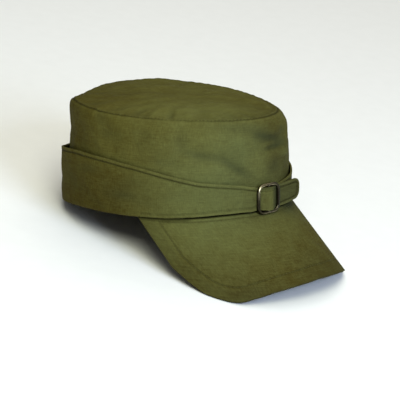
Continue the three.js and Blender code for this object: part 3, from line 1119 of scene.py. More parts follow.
@dataclass(frozen=True)
class Cotton:
    """Closely woven olive cotton, washed and a little rubbed along its edges, with painted light and
    shade.

    The tone runs from the deep to the light colour, which are shaded and lit copies of the green, and the
    height is the bump's, in millimetres.
    """

    name: str = "olive_cotton_cloth"
    # Deep, light and cool began as a fit to the photograph's colours, made outside this script.
    # Deep and light are shaded and lit copies of the green; lit_tint is the hue of its lit side,
    # painted_shade the colour of painted shade and shadow, and sunk that of painted shade in stitch
    # grooves and of seams that are part joint and part painted shade.
    deep: Colour = (0.0472, 0.0316, 0.0018)
    light: Colour = (0.1226, 0.1166, 0.0279)
    lit_tint: Colour = (0.0137, 0.0584, 0.0465)
    painted_shade: Colour = (0.028, 0.032, 0.014)
    sunk: Colour = (0.012, 0.011, 0.0025)
    rubbed_and_lit: Colour = (0.130, 0.126, 0.038)
    thread_pitch: float = 0.44
    noises: tuple[Grain, ...] = (
        Grain("slub_along", (150, 1050, 1), uv=CLOTH_UV),
        Grain("slub_up", (1150, 180, 1), uv=CLOTH_UV),
        Grain("fuzz", (900, 900, 900), 4.0),
        Grain("blotch", (17, 17, 17), 3.0, 0.4),
        Grain("patch", (75, 75, 75), 4.0, 0.6),
        Grain("crease", (190, 190, 190), 3.0, 0.8),
        Grain("drag", (26, 380, 1), 3.0, uv=CLOTH_UV),
    )
    tone: Shares = (
        (LIT_AND_FADED, 1.0),
        ("blotch", 0.24),
        ("patch", 0.38),
        ("drag", 0.24),
        ("slub", 0.6),
        ("fuzz", 0.44),
        ("weave", 0.1),
        ("drawn", 0.24),
        ("crease", 0.2),
    )
    tone_shift: float = -0.045
    height: Shares = (
        ("weave", 0.035),
        ("slub", 0.11),
        ("fuzz", 0.08),
        ("patch", 0.9),
        ("crease", 0.35),
        ("drag", 0.25),
        ("drawn", 0.9),
        ("groove", -0.2),
    )
    groove_reach: float = 0.8
    drawn_reach: float = 4.0
    lit_tint_patch: float = 0.08
    groove_dark: float = 0.75
    seam_dark: float = 0.85
    bump: float = 0.9
    rubbing_and_highlight: Shares = (("fuzz", 0.9), ("patch", 1.0))
    rubbed_and_lit_share: float = 0.5
    roughness: float = 0.78
    roughness_fuzz: float = 0.14
    worn_smooth: float = 0.06
    gloss: float = 0.03
    sheen: float = 0.05
    sheen_roughness: float = 0.45

    def made(self) -> bpy.types.Material:
        """Builds the material.

        Returns:
            The material.
        """
        graph = Graph(self.name)
        u, v = graph.split(graph.place((1 / MM, 1 / MM, 1), CLOTH_UV))
        turn = math.pi / self.thread_pitch
        terms = graph.grains(self.noises)
        fuzz, patch = terms["fuzz"], terms["patch"]
        stitch, worn = graph.attribute(STITCH), graph.attribute(WEAR_AND_HIGHLIGHT)
        terms["weave"] = abs(graph.maths("SINE", u * turn) * graph.maths("SINE", v * turn))
        terms["slub"] = terms["slub_along"] + terms["slub_up"]
        terms["groove"] = graph.falloff(stitch, self.groove_reach)
        terms["drawn"] = graph.falloff(stitch, self.drawn_reach) * terms["crease"]
        terms[LIT_AND_FADED] = graph.attribute(LIT_AND_FADED)

        tone = graph.held(graph.mixed(terms, self.tone) + self.tone_shift)
        # Layers over the tone: the painted lit tint, painted shade in folds and shadows, lighter edges
        # that are part wear and part painted highlight, and painted shade in stitch grooves and seams.
        layers = (
            (graph.held(graph.attribute(LIT_TINT) + patch * self.lit_tint_patch), self.lit_tint),
            (graph.held(graph.attribute(PAINTED_SHADE)), self.painted_shade),
            (graph.held(worn * (graph.mixed(terms, self.rubbing_and_highlight) + self.rubbed_and_lit_share)), self.rubbed_and_lit),
            (terms["groove"] * self.groove_dark, self.sunk),
            (graph.attribute(SEAM_AND_SHADE) * self.seam_dark, self.sunk),
        )
        cloth = graph.blend(tone, self.deep, self.light)
        for share, colour in layers:
            cloth = graph.blend(share, cloth, colour)
        return graph.finished(
            Base_Color=cloth,
            Roughness=fuzz * self.roughness_fuzz - worn * self.worn_smooth + self.roughness,
            Normal=graph.bumped(graph.mixed(terms, self.height), self.bump),
            Specular_IOR_Level=self.gloss,
            Sheen_Weight=self.sheen,
            Sheen_Roughness=self.sheen_roughness,
            Sheen_Tint=self.rubbed_and_lit,
        )


@dataclass(frozen=True)
class Thread:
    """Twisted sewing thread, a shade darker than the cloth."""

    name: str = "olive_sewing_thread"
    dark: Colour = (0.032, 0.029, 0.0065)
    light: Colour = (0.076, 0.072, 0.0160)
    strands: float = 2.0
    plies: float = 9.0
    noises: tuple[Grain, ...] = (Grain("dust", (700, 700, 700)),)
    shade: Shares = (("twist", 0.25), ("dust", 0.8))
    shade_middle: float = 0.45
    roughness: float = 0.62
    roughness_dust: float = 0.3
    twist_height: float = 0.05
    bump: float = 0.8
    gloss: float = 0.12

    def made(self) -> bpy.types.Material:
        """Builds the material.

        Returns:
            The material.
        """
        graph = Graph(self.name)
        around, along = graph.split(graph.node("ShaderNodeUVMap", {"uv_map": "UVMap"}).outputs[0])
        terms = graph.grains(self.noises)
        turns = around * self.strands + along * self.plies
        terms["twist"] = graph.maths("SINE", turns * (2 * math.pi))
        shade = graph.held(graph.mixed(terms, self.shade) + self.shade_middle)
        return graph.finished(
            Base_Color=graph.blend(shade, self.dark, self.light),
            Roughness=terms["dust"] * self.roughness_dust + self.roughness,
            Normal=graph.bumped(terms["twist"] * self.twist_height, self.bump),
            Specular_IOR_Level=self.gloss,
        )


SEAM_THREAD = ("brown_seam_thread", (0.014, 0.009, 0.003), (0.034, 0.022, 0.008))


@dataclass(frozen=True)
class AgedBrass:
    """Brass wire under a dark patina, painted with highlights of brighter brass and steel colour."""

    name: str = "aged_brass_wire"
    patina: Colour = (0.022, 0.018, 0.010)
    # Brass and steel are the colours of the painted highlights.
    brass: Colour = (0.530, 0.460, 0.250)
    steel: Colour = (0.340, 0.300, 0.215)
    noises: tuple[Grain, ...] = (
        Grain("cloud", (55, 55, 55), 3.0, 0.3),
        Grain("speck", (900, 900, 900), 3.0),
        Grain("scratch", (260, 2400, 2400)),
    )
    highlight_breakup: Shares = (("cloud", 0.4), ("speck", 0.3))
    brass_share: float = 0.6
    brass_cloud: float = 1.6
    metallic: float = 0.95
    roughness: float = 0.30
    roughness_shares: Shares = (("highlight_share", -0.06), ("speck", 0.16))
    height: Shares = (("scratch", 0.03), ("speck", 0.015))
    bump: float = 0.6

    def made(self) -> bpy.types.Material:
        """Builds the material.

        Returns:
            The material.
        """
        graph = Graph(self.name)
        terms = graph.grains(self.noises)
        terms["highlight_share"] = graph.held(graph.attribute(WEAR_AND_HIGHLIGHT) * (graph.mixed(terms, self.highlight_breakup) + 1.0))
        share = graph.held(terms["cloud"] * self.brass_cloud + self.brass_share)
        metal = graph.blend(share, self.steel, self.brass)
        return graph.finished(
            Base_Color=graph.blend(terms["highlight_share"], self.patina, metal),
            Metallic=self.metallic + terms["highlight_share"] * (1 - self.metallic),
            Roughness=graph.mixed(terms, self.roughness_shares) + self.roughness,
            Normal=graph.bumped(graph.mixed(terms, self.height), self.bump),
        )


@dataclass(frozen=True)
class Paper:
    """The pale paper that the cap stands on."""

    name: str = "pale_paper"
    low: Colour = (0.86, 0.86, 0.855)
    high: Colour = (0.90, 0.90, 0.895)
    fibre: Grain = Grain("fibre", (60, 60, 60), 3.0)

    def made(self) -> bpy.types.Material:
        """Builds the material.

        Returns:
            The material.
        """
        graph = Graph(self.name)
        fibre = graph.grains((self.fibre,))["fibre"]
        colour = graph.blend(0.5 + fibre, self.low, self.high)
        return graph.finished(Base_Color=colour, Roughness=0.9 + fibre * 0.1)


@dataclass
class Finishes:
    """Every material of the scene, made once."""

    cotton: bpy.types.Material = field(default_factory=lambda: Cotton().made())
    thread: bpy.types.Material = field(default_factory=lambda: Thread().made())
    seam_thread: bpy.types.Material = field(default_factory=lambda: Thread(*SEAM_THREAD).made())
    brass: bpy.types.Material = field(default_factory=lambda: AgedBrass().made())
    paper: bpy.types.Material = field(default_factory=lambda: Paper().made())


def dress(
    piece: bpy.types.Object, finish: bpy.types.Material, slot: Slot, *nodes: str
) -> bpy.types.Object:
    """Gives a piece its finish and ties it to the frame.

    Args:
        piece: The finished mesh, in the frame's metres.
        finish: Its material.
        slot: The record's material slot; not used.
        nodes: The CAD nodes that it stands for.

    Returns:
        The piece.
    """
    piece.data.materials.clear()
    piece.data.materials.append(finish)
    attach(piece, BODY)
    if nodes:
        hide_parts(*nodes)
    triangles = sum(len(face.vertices) - 2 for face in piece.data.polygons)
    log.info("%s: %d triangles", piece.name, triangles)
    return piece


@dataclass
class Crown:
    """The crown: its side wall and the flat top panel that is sewn to it."""

    shape: CapShape
    stance: Stance
    columns: int = 420
    wall_rows: int = 46
    panel_rows: int = 26
    seam_groove: Swell = Swell(0.9, 0, 0.85)
    seam_line: Swell = Swell(1, 0, 0.75)
    seam_pale_at: float = -50.0
    seam_pale_wide: float = 32.0
    seam_pale_by: float = 0.75
    pale_groove: float = 0.4
    wall_puff: Swell = Swell(0.3, 3.2, 1.9)
    # Lighter edges by the seam, rubbed in part and painted highlight in part.
    wall_wear_and_highlight: Swell = Swell(0.35, 1.9, 0.8)
    panel_puff: Swell = Swell(0.3, 1.6, 0.8)
    panel_wear_and_highlight: Swell = Swell(0.4, 1.6, 0.7)
    stitched: Swell = Swell(0.3, 1.1, 0.5)
    stitch_faint: float = 1.2
    pucker: Crumple = Crumple(4.6, 0.55, 9.1)
    wall_gathers: Swell = Swell(1, 2, 5)
    panel_gathers: Swell = Swell(1, 3, 5)
    wall_crumples: tuple[Crumple, ...] = (Crumple(26, 1.6, 3.1), Crumple(11, 0.8, 7.7))
    panel_crumples: tuple[Crumple, ...] = (Crumple(34, 1.9, 1.7), Crumple(13, 1.1, 5.3))
    wall_held: Span = (0, 14)
    panel_held: Span = (0, 16)
    # Painted shade in the crumples' hollows, for each millimetre.
    wall_crumple_shade: float = 0.4
    panel_crumple_shade: float = 0.3
    edge_rounding: float = 0.3
    folds_shown: Span = (20, 45)
    # Painted light just above the flap's top edge, where the gap would shade the wall, and painted shade
    # over the wall's lowest millimetres under the strap and peak.
    light_over_flap: Swell = Swell(2.2, 1, 4)
    lit_from: Span = (64, 82)
    dark_rim: Span = (3.5, 6)
    panel_share: float = 0.93
    off_stitches: float = 4.0
    near_seam: tuple[float, ...] = (5.0, 4.0, 3.2, 2.5, 1.9, 1.4, 0.9, 0.5, 0.2, 0.0)
    # Folds of the wall, whose hollows are also painted darker and whose ridges painted lighter.
    folds: Table = Table(
        DENT_COLUMNS,
        (
            (-2, 65.3, 12, 5.2, -0.4, 3),
            (8, 55.8, 11, 1.9, 0.03, 2.4),
            (13, 60, 9, 3.4, -0.3, 1.7),
            (1, 59.3, 6, 1.9, 0.1, -1.2),
            (16, 67, 8, 5, -0.1, 1.4),
            (17, 48, 8, 3.5, -0.1, -1.8),
            (5, 36, 7, 8, 0, 1.9),
            (-18, 76, 20, 4, -0.15, 0.9),
            (-42, 53.5, 11, 3.6, -0.3, 1.5),
            (-27, 46, 8, 4.4, -0.75, 1.2),
            (-17.5, 35.5, 8, 4.2, -1, 2.1),
            (-99, 78, 5, 7, 0, 0.9),
            (-39, 69, 9, 4.5, 0.1, -0.8),
            (-23, 66, 8, 4.5, 0.3, -0.8),
            (-38, 41.5, 10, 5, 0, -0.9),
            (-54, 66, 4, 9, 0, 0.9),
            (-63, 47, 8, 3.5, -0.2, 0.8),
            (-72, 70, 10, 4, -0.2, 0.5),
            (-96, 66, 9, 5, 0.25, 0.6),
            (30, 56, 10, 3.5, 0.5, 0.9),
            (74, 64, 12, 5, -0.2, 0.8),
            (130, 62, 12, 4.5, 0.3, 0.8),
            (-140, 60, 12, 5, -0.3, 0.8),
            (170, 54, 14, 4, 0.2, 0.7),
        ),
    )
    panel_folds: Table = Table(
        ("angle", "inside", "wide", "long", "depth"),
        (
            (-71, 14, 3.5, 12, -1.2),
            (-61, 14, 3, 14, 1.8),
            (-50, 13, 4, 12, -1),
            (-76, 4, 2.5, 5, 1.1),
            (-118, 10.5, 6, 6, 1.5),
            (-82, 15, 4, 14, 1.3),
            (-97, 14, 4, 12, 1.2),
            (-34, 12, 4, 12, -0.9),
            (-8, 12, 3.5, 11, 1.1),
            (-20, 14, 5, 12, 0.8),
            (24, 16, 5, 16, 0.7),
            (140, 8, 13, 14, -1.2),
            (55, 10, 75, 2.6, -0.9),
            (55, 5.5, 75, 2, 0.8),
            (-150, 18, 6, 16, 0.8),
        ),
    )

    def seam_shows(self, angle: Array) -> Array:
        """How dark the seam is by the angle round the head, paler round seam_pale_at."""
        past = degrees_past(self.seam_pale_at, angle)
        return 1 - self.seam_pale_by * bell(past, 0, self.seam_pale_wide)

    def sunk(self, angle: Array, away: Array) -> Array:
        """How deep the cloth lies by the seam, at a distance away from it."""
        shown = self.pale_groove + (1 - self.pale_groove) * self.seam_shows(angle)
        return self.seam_groove.by(away) * shown

    def puckers(self, angles: Array) -> Array:
        """Small gathers of the cloth where the seam draws it in, by the angle round the head."""
        seam = self.shape.top_face(angles, np.ones_like(angles))
        return self.pucker.at(seam)

    def panel_dents(self, angle: Array, edge: Array) -> Array:
        """Folds of the top panel that run in from its seam.

        Args:
            angle: Angles round the head, in radians.
            edge: Distances in from the seam, in millimetres.

        Returns:
            How far the panel is pushed down there.
        """
        depth = np.zeros_like(edge)
        for fold in self.panel_folds.named_rows():
            across = np.radians(degrees_past(fold["angle"], angle)) * (self.shape.half_width - edge)
            reach = bell(across, 0, fold["wide"]) * bell(edge, fold["inside"], fold["long"])
            depth += fold["depth"] * reach
        return depth

    def wall(self) -> ClothGrid:
        """The side wall's outer face, from the rim up to the seam.

        Returns:
            The sheet.
        """
        angles = np.linspace(-math.pi, math.pi, self.columns + 1)
        near = 1 - np.array(self.near_seam) / self.shape.seam_height
        levels = np.concatenate((np.linspace(0, near[0], self.wall_rows)[:-1], near))
        angle, level = np.meshgrid(angles, levels)
        degrees = np.abs(np.degrees(angle))
        lowest = self.shape.crown_bottom(degrees) / self.shape.seam(angle)
        share = lowest + (1 - lowest) * level
        points = self.shape.crown_face(angle, share)
        below = (1 - share) * self.shape.seam(angle)
        height = points[..., 2]
        shown = smoothstep(height, *self.folds_shown)
        soft = sum(crumple.at(points) for crumple in self.wall_crumples)
        pressed = dents(self.folds, angle, height)
        soft = soft * smoothstep(below, *self.wall_held) - pressed
        over_flap = height - self.shape.flap.read("top", degrees)
        # lit is painted light over the flap's top edge; rim is painted shade at the wall's foot.
        lit = self.light_over_flap.by(over_flap) * smoothstep(degrees, *self.lit_from)
        rim = 1 - smoothstep(height, *self.dark_rim)
        soft = soft + self.puckers(angles) * self.wall_gathers.by(below)
        # The hollows of the folds and crumples are painted darker through pressed, and the ridges
        # lighter.
        grid = ClothGrid(
            points=points,
            along=angle * (self.shape.half_length + self.shape.half_width) / 2,
            up=height,
            stitch=below + self.off_stitches,
            worn=self.wall_wear_and_highlight.by(below),
            relief=self.wall_puff.by(below) - self.sunk(angle, below),
            seam=np.maximum(self.seam_line.by(below) * self.seam_shows(angle), rim),
            pressed=(pressed - soft * self.wall_crumple_shade) * shown - lit,
        )
        grid.points = points + grid.normals() * (soft * shown)[..., None]
        return grid

    def panel(self) -> ClothGrid:
        """The top panel's outer face, from its middle out to the seam.

        Returns:
            The sheet.
        """
        angles = np.linspace(-math.pi, math.pi, self.columns + 1)
        near = 1 - np.array(self.near_seam) / (self.shape.half_width * self.panel_share)
        radii = np.concatenate((np.linspace(0, near[0], self.panel_rows)[:-1], near))
        angle, radius = np.meshgrid(angles, radii[::-1])
        points = self.shape.top_face(angle, radius)
        edge = np.linalg.norm(points[:1, :, :2], axis=-1) * (1 - radius)
        soft = sum(crumple.at(points) for crumple in self.panel_crumples)
        # The panel's folds push it down; their hollows and the crumples' are also painted darker through
        # pressed, and their ridges lighter.
        pressed = self.panel_dents(angle, edge)
        points[..., 2] += soft * smoothstep(edge, *self.panel_held) - pressed
        points[..., 2] += self.puckers(angles) * self.panel_gathers.by(edge)
        return ClothGrid(
            points=points,
            along=points[..., 0].copy(),
            up=points[..., 1].copy(),
            stitch=edge - self.stitched.at,
            worn=self.panel_wear_and_highlight.by(edge),
            relief=self.panel_puff.by(edge) - self.stitched.by(edge) - self.sunk(angle, edge),
            faint=np.full_like(edge, self.stitch_faint),
            seam=self.seam_line.by(edge) * self.seam_shows(angle),
            pressed=pressed - soft * self.panel_crumple_shade,
        )

    def build(self, finishes: Finishes) -> None:
        """Makes the wall, the panel and the short stitches in the seam.

        Args:
            finishes: The scene's materials.
        """
        wall = lay_grid("crown_wall_cloth", self.wall(), self.stance)
        thicken(wall, CROWN_CLOTH, -1, self.edge_rounding)
        dress(wall, finishes.cotton, Slot.COTTON, "crown_side")
        grid = self.panel()
        panel = lay_grid("crown_top_cloth", grid, self.stance)
        thicken(panel, CROWN_CLOTH, -1, self.edge_rounding)
        dress(panel, finishes.cotton, Slot.COTTON, "crown_top")
        short = Stitching(self.stance, length=1.6, width=0.6)
        thread = short.sewn("crown_top_stitches", grid, 0.02 - self.stitched.height)
        dress(thread, finishes.seam_thread, Slot.COTTON)


@dataclass
class SmoothLine:
    """A smooth line through points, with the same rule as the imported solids'."""

    points: Array

    def read(self, at: Array) -> Array:
        """Points of the line.

        Args:
            at: Places counted in points from the first.

        Returns:
            The positions there.
        """
        p = self.points
        p = np.concatenate(([2 * p[0] - p[1]], p, [2 * p[-1] - p[-2]]))
        i = np.clip(np.floor(at).astype(int), 0, len(self.points) - 2)
        w = (at - i)[:, None]
        p0, p1, p2, p3 = (p[i + k] for k in range(4))
        d0, d1, d2 = (
            np.sqrt(np.linalg.norm(b - a, axis=1, keepdims=True))
            for a, b in ((p0, p1), (p1, p2), (p2, p3))
        )
        t1 = ((p1 - p0) / d0 - (p2 - p0) / (d0 + d1) + (p2 - p1) / d1) * d1
        t2 = ((p2 - p1) / d1 - (p3 - p1) / (d1 + d2) + (p3 - p2) / d2) * d1
        return p1 + t1 * w + (3 * (p2 - p1) - 2 * t1 - t2) * w**2 + (2 * (p1 - p2) + t1 + t2) * w**3


STRAP_COLUMNS = ("along", "out", "bottom", "top")


@dataclass(frozen=True)
class BucklePlace:
    """Where the buckle is and how big its frame of wire is."""

    width: float = 26.8
    height: float = 26.7
    corner: float = 6.0
    straight: float = 0.125
    wire: float = 2.9
    at: tuple[float, float, float] = (-7.4, -107.3, 14.4)
    turn: float = math.radians(-5)

    @property
    def side_bar(self) -> float:
        """From the middle bar to a side bar, between the wire's middles."""
        return (self.width - self.wire) / 2

    @property
    def clear(self) -> float:
        """From a bar's middle to the middle of a strap that passes it."""
        return 2.15

    @property
    def layer(self) -> float:
        """From one layer of strap to the next."""
        return FLAP_CLOTH + SEWN_GAP

    def right_strap(self) -> Table:
        """Stations of the strap with the free end, from the middle bar.

        Returns:
            Stations along the buckle, out of it, and the strap's two edges.
        """
        bar, clear, layer = self.side_bar, self.clear, self.layer
        return Table(
            STRAP_COLUMNS,
            (
                (-bar - 7, -clear - 0.4, 5.1, 26.5),
                (-bar - 1.5, -clear - 0.05, 5.4, 25.6),
                (-bar + 0.9, -clear + 0.1, 5.5, 24.9),
                (-bar / 2, (layer + 0.1) / 2, 5.1, 24.5),
                (-1.6, clear + layer - 0.15, 4.8, 24.8),
                (1.6, clear + layer - 0.15, 4.8, 24.8),
                (bar / 2, (layer + 0.1) / 2, 5.1, 24.5),
                (bar - 0.9, -clear + 0.1, 5.3, 24.1),
                (bar + 1.5, -clear - 0.05, 5.1, 24.2),
                (26, -3.4, 5.9, 24.7),
                (36, -4.6, 7.2, 25.4),
                (40.5, -5.2, 7.8, 25.7),
                (42.8, -5.5, 8.1, 25.9),
                (43.5, -5.6, 8.2, 25.9),
            ),
        )

    def left_strap(self) -> Table:
        """Stations of the strap that is sewn round the middle bar.

        Returns:
            Stations along the buckle, out of it, and the strap's two edges.
        """
        bar, clear, layer = self.side_bar, self.clear, self.layer
        return Table(
            STRAP_COLUMNS,
            (
                (bar + 5, -clear - layer - 0.7, 4.6, 24.6),
                (bar, -clear - layer, 4.8, 24.0),
                (6.5, -clear - layer + 0.7, 5.0, 23.8),
                (0.0, -clear - 0.1, 5.0, 23.7),
                (-clear * 0.8, -clear * 0.8, 5.0, 23.7),
                (-clear - 0.1, 0.0, 5.0, 23.7),
                (-clear * 0.8, clear * 0.8, 5.0, 23.7),
                (0.0, clear, 5.0, 23.7),
                (3.0, clear - 1.9, 5.0, 23.7),
                (6.5, -clear + 0.9, 5.0, 23.7),
            ),
        )


@dataclass
class FlapLines:
    """What changes along a flap, from the middle of the back to its end.

    Attributes:
        low: Points of its lower edge.
        high: Points of its upper edge.
        run: Length along it.
        outward: The level way out of its face, as x and y.
        angle: Angle round the head, in radians.
        strapped: Whether it is a free strap there.
        to_end: Distance to its end.
        corner: How far the end's rounding draws each edge in.
        past: How far past the buckle's middle it lies, along X.
    """

    low: Array
    high: Array
    run: Array
    outward: Array
    angle: Array
    strapped: Array
    to_end: Array
    corner: Array
    past: Array

    @property
    def degrees(self) -> Array:
        """Degrees from the front, to either side."""
        return np.abs(np.degrees(self.angle))


@dataclass
class Flap:
    """A turned-up ear flap: folded up from the rim behind, and narrowing to a strap in front."""

    shape: CapShape
    stance: Stance
    place: BucklePlace
    side: Side
    round_end: bool
    station_step: int = 8
    strap_share: float = 0.6
    tab_rounding: float = 6.5
    wide_step: float = 1.7
    fine_step: float = 0.65
    fine_length: float = 66.0
    fold_rows: int = 9
    wall_rows: int = 17
    near_edge: tuple[float, ...] = (0.0, 0.4, 0.9, 1.5, 2.1, 2.6, 3.0, 3.4, 4.0, 5.2)
    hem_ridge: Swell = Swell(0.3, 1.3, 1.1)
    hem_groove: Swell = Swell(0.45, 3, 0.5)
    # Lighter hem edges, rubbed in part and painted highlight in part; the lower edge is painted dark from
    # seam_from on until the flap folds under, part joint and part painted shade.
    edge_wear_and_highlight: tuple[Swell, ...] = (Swell(0.4, 0.2, 1.1), Swell(0.16, 1.6, 1))
    edge_seam: Swell = Swell(0.55, 0, 0.9)
    seam_from: Span = (44, 50)
    lower_hem_from: Span = (0, 4)
    lower_hem_flat: float = 0.7
    lower_hem_faint: float = 0.9
    strap_faint: float = 0.7
    strap_until: Span = (35, 50)
    tab_from: Span = (12, 16)
    tab_clear: float = 0.8
    under_buckle: Span = (0, 1.5)
    buckle_flat: float = 0.9
    tuck: float = 0.4
    tuck_down: float = 16.0
    tucked_from: Span = (55, 75)
    tucked_until: Span = (112, 132)
    soft_from: Span = (30, 60)
    soft_off_edges: Span = (2, 10)
    soft_stand: float = 0.3
    # Painted shade in the hollows of the flap's folds, for each millimetre.
    fold_shade: float = 1.5
    heading_step: float = 0.01
    off_fold: float = 40.0
    edge_rounding: float = 0.35
    crumples: tuple[Crumple, ...] = (Crumple(30, 1.1, 2.9), Crumple(12, 0.4, 8.3))
    folds: Table = Table(
        DENT_COLUMNS,
        (
            (84, 16.5, 8, 4, -0.15, 0.95),
            (106, 33.5, 9, 3.6, -0.2, 0.9),
            (100, 9, 7, 3.5, 0.9, 0.5),
            (96, 25, 9, 4, -0.3, -0.3),
            (80, 27, 7, 5, -0.3, 0.5),
            (118, 20, 8, 8, 0.5, 0.8),
            (140, 14, 10, 6, -0.3, 0.7),
            (74, 14, 9, 4, 0.3, 0.5),
            (160, 20, 8, 9, 0.2, 0.6),
            (56, 18, 9, 3.5, -0.2, 0.35),
        ),
    )

    # Painted shadow of the buckle on its strap: over the window's right half, by the bars and over the
    # tab.
    right_half: Span = (-1, 2.5)
    right_half_shade: float = 2.2
    bar_shade: Swell = Swell(3, 0.8, 1.2)
    shades: tuple[Swell, ...] = (Swell(2.6, 9, 4.5), Swell(1.2, 15, 3), Swell(3, -9.55, 1.2))

    def stations(self) -> Array:
        """The flap's stations, each as its x, its y, its lower edge and its upper edge.

        Returns:
            A row of four numbers for each station.
        """
        angles = np.arange(180, self.shape.flap.column("angle")[0] - 1e-6, -self.station_step)
        turn = self.side.value * np.radians(angles)
        bottom, top, stand = (self.shape.flap.read(name, angles) for name in ("bottom", "top", "stand"))
        out = (stand + FLAP_CLOTH / 2)[:, None] * self.shape.oval_out(turn)
        middle = self.shape.oval(turn, 1.0, 0.0, 0.0) + out
        flap = np.stack((middle[:, 0], middle[:, 1], bottom, top), axis=-1)
        strap = self.place.right_strap() if self.side is Side.RIGHT else self.place.left_strap()
        along, out, bottom, top = (strap.column(name) for name in STRAP_COLUMNS)
        cos, sin = math.cos(self.place.turn), math.sin(self.place.turn)
        x = self.place.at[0] + cos * along + sin * out
        y = self.place.at[1] + sin * along - cos * out
        return np.concatenate((flap, np.stack((x, y, bottom, top), axis=-1)))

    def spacing(self, lower: SmoothLine, count: int) -> tuple[Array, Array]:
        """Where the columns stand: wide apart behind, close at the buckle and round the end.

        Args:
            lower: The lower edge.
            count: How many stations it goes through.

        Returns:
            Places counted in stations, and the length along the edge there.
        """
        fine = np.linspace(0, count - 1, 60 * count)
        steps = np.linalg.norm(np.diff(lower.read(fine), axis=0), axis=1)
        run = np.concatenate(([0.0], np.cumsum(steps)))
        total = run[-1]
        near = total - self.fine_length
        far = total - (self.tab_rounding if self.round_end else 0)
        wide = np.linspace(0, near, int(near / self.wide_step))
        close = np.linspace(near, far, int((far - near) / self.fine_step))
        lengths = np.concatenate((wide[:-1], close))
        if self.round_end:
            quarter = np.linspace(math.pi / 2, 0, 13)[1:]
            lengths = np.concatenate((lengths, total - self.tab_rounding * (1 - np.cos(quarter))))
        return np.interp(lengths, run, fine), lengths

    def lines(self) -> FlapLines:
        """The flap's two edges and what changes along it.

        Returns:
            The lines, from the middle of the back to the flap's end.
        """
        stations = self.stations()
        last = len(stations) - 1
        lower, upper = SmoothLine(stations[:, :3]), SmoothLine(stations[:, (0, 1, 3)])
        at, run = self.spacing(lower, len(stations))
        low, high = lower.read(at), upper.read(at)
        ahead, behind = np.minimum(at + self.heading_step, last), np.maximum(at - self.heading_step, 0)
        forward = lower.read(ahead) - lower.read(behind)
        forward /= np.hypot(forward[:, 0], forward[:, 1])[:, None]
        to_end = np.linalg.norm(low - low[-1], axis=1) if self.round_end else np.full(len(at), math.inf)
        missing = np.maximum(self.tab_rounding - to_end, 0)
        return FlapLines(
            low=low,
            high=high,
            run=run,
            outward=-self.side.value * np.stack((forward[:, 1], -forward[:, 0]), axis=-1),
            angle=np.arctan2(low[:, 0] / self.shape.half_width, -low[:, 1] / self.shape.half_length),
            strapped=at > self.strap_share * last,
            to_end=to_end,
            corner=self.tab_rounding - np.sqrt(np.maximum(self.tab_rounding**2 - missing**2, 0)),
            past=low[:, 0] - self.place.at[0],
        )

    def rows(self, lines: FlapLines) -> tuple[Array, Array]:
        """Where the sheet's rows lie: the first go round the fold, the others up the wall.

        Args:
            lines: The flap's lines.

        Returns:
            Heights, and distances inwards of the flap's face, in rows by columns.
        """
        half = self.shape.fold_half(lines.degrees)
        curl = np.where(lines.strapped, 0.0, self.shape.flap_curl(lines.degrees))
        turned = self.shape.fold_point(np.minimum(curl, math.pi / 2), half)[1]
        foot, head = lines.low[:, 2] + lines.corner + turned, lines.high[:, 2] - lines.corner
        near = np.array(self.near_edge)[:, None]
        from_foot, from_head = foot + near, head - near[::-1]
        share = np.linspace(0, 1, self.wall_rows)[1:-1, None]
        between = from_foot[-1] + (from_head[0] - from_foot[-1]) * share
        wall = np.concatenate((from_foot, between, from_head))
        around = curl * np.linspace(1, 0, self.fold_rows + 1)[:-1, None]
        inward, down = self.shape.fold_point(around, half)
        height = np.concatenate((foot - down, wall))
        inward = np.concatenate((inward, np.zeros_like(wall)))

        # The upper edge leans against the crown, but not at the back.
        leaning = smoothstep(lines.degrees, *self.tucked_from)
        leaning = leaning - smoothstep(lines.degrees, *self.tucked_until)
        stand = self.shape.flap.read("stand", lines.degrees)
        lean = self.tuck * stand * np.where(lines.strapped, 0, leaning)
        return height, inward + lean * smoothstep(lines.high[:, 2] - height, self.tuck_down, 0)

    def edges(self, lines: FlapLines, height: Array) -> tuple[Array, Array]:
        """Distances from the free edges, whose hems run round the end of the strap.

        Args:
            lines: The flap's lines.
            height: Heights of the sheet's points.

        Returns:
            The distance from the nearest free edge, and that from the lower edge where it is free.
        """
        above, below = height - lines.low[:, 2], lines.high[:, 2] - height
        folded = smoothstep(lines.degrees, self.shape.fold_from - 4, self.shape.fold_full)
        free = np.where(lines.strapped, above, above + self.off_fold * folded)
        edge = np.minimum(below, free)
        if self.round_end:
            a, b = self.tab_rounding - edge, self.tab_rounding - lines.to_end
            rounded = self.tab_rounding - np.hypot(np.maximum(a, 0), np.maximum(b, 0))
            edge = np.where((a > 0) | (b > 0), np.minimum(rounded, edge), edge)
        return edge, free

    def shade(self, lines: FlapLines, below: Array, hidden: Array) -> Array:
        """Painted shadow and shade of the buckle on the strap that runs through it.

        Args:
            lines: The flap's lines.
            below: Distances below the upper edge.
            hidden: How far under the buckle the strap is, from 0 to 1.

        Returns:
            The painted shade, counted as millimetres of a fold.
        """
        shade = self.right_half_shade * smoothstep(lines.past, *self.right_half)
        shade = shade + sum(one.by(lines.past) for one in self.shades) + hidden * self.bar_shade.by(below)
        return np.where(lines.strapped & self.round_end, shade, 0)

    def grid(self) -> ClothGrid:
        """The middle of the flap's cloth, from the edge sewn in under the crown to its top.

        Returns:
            The sheet.
        """
        lines, side = self.lines(), self.side.value
        height, inward = self.rows(lines)
        degrees, strapped = lines.degrees, lines.strapped
        points = np.empty((*height.shape, 3))
        points[..., :2] = lines.low[:, :2] - lines.outward * inward[..., None]
        points[..., 2] = height
        clear = np.maximum(side * points[..., 0], SEWN_GAP / 2)
        points[..., 0] = np.where(strapped, points[..., 0], side * clear)

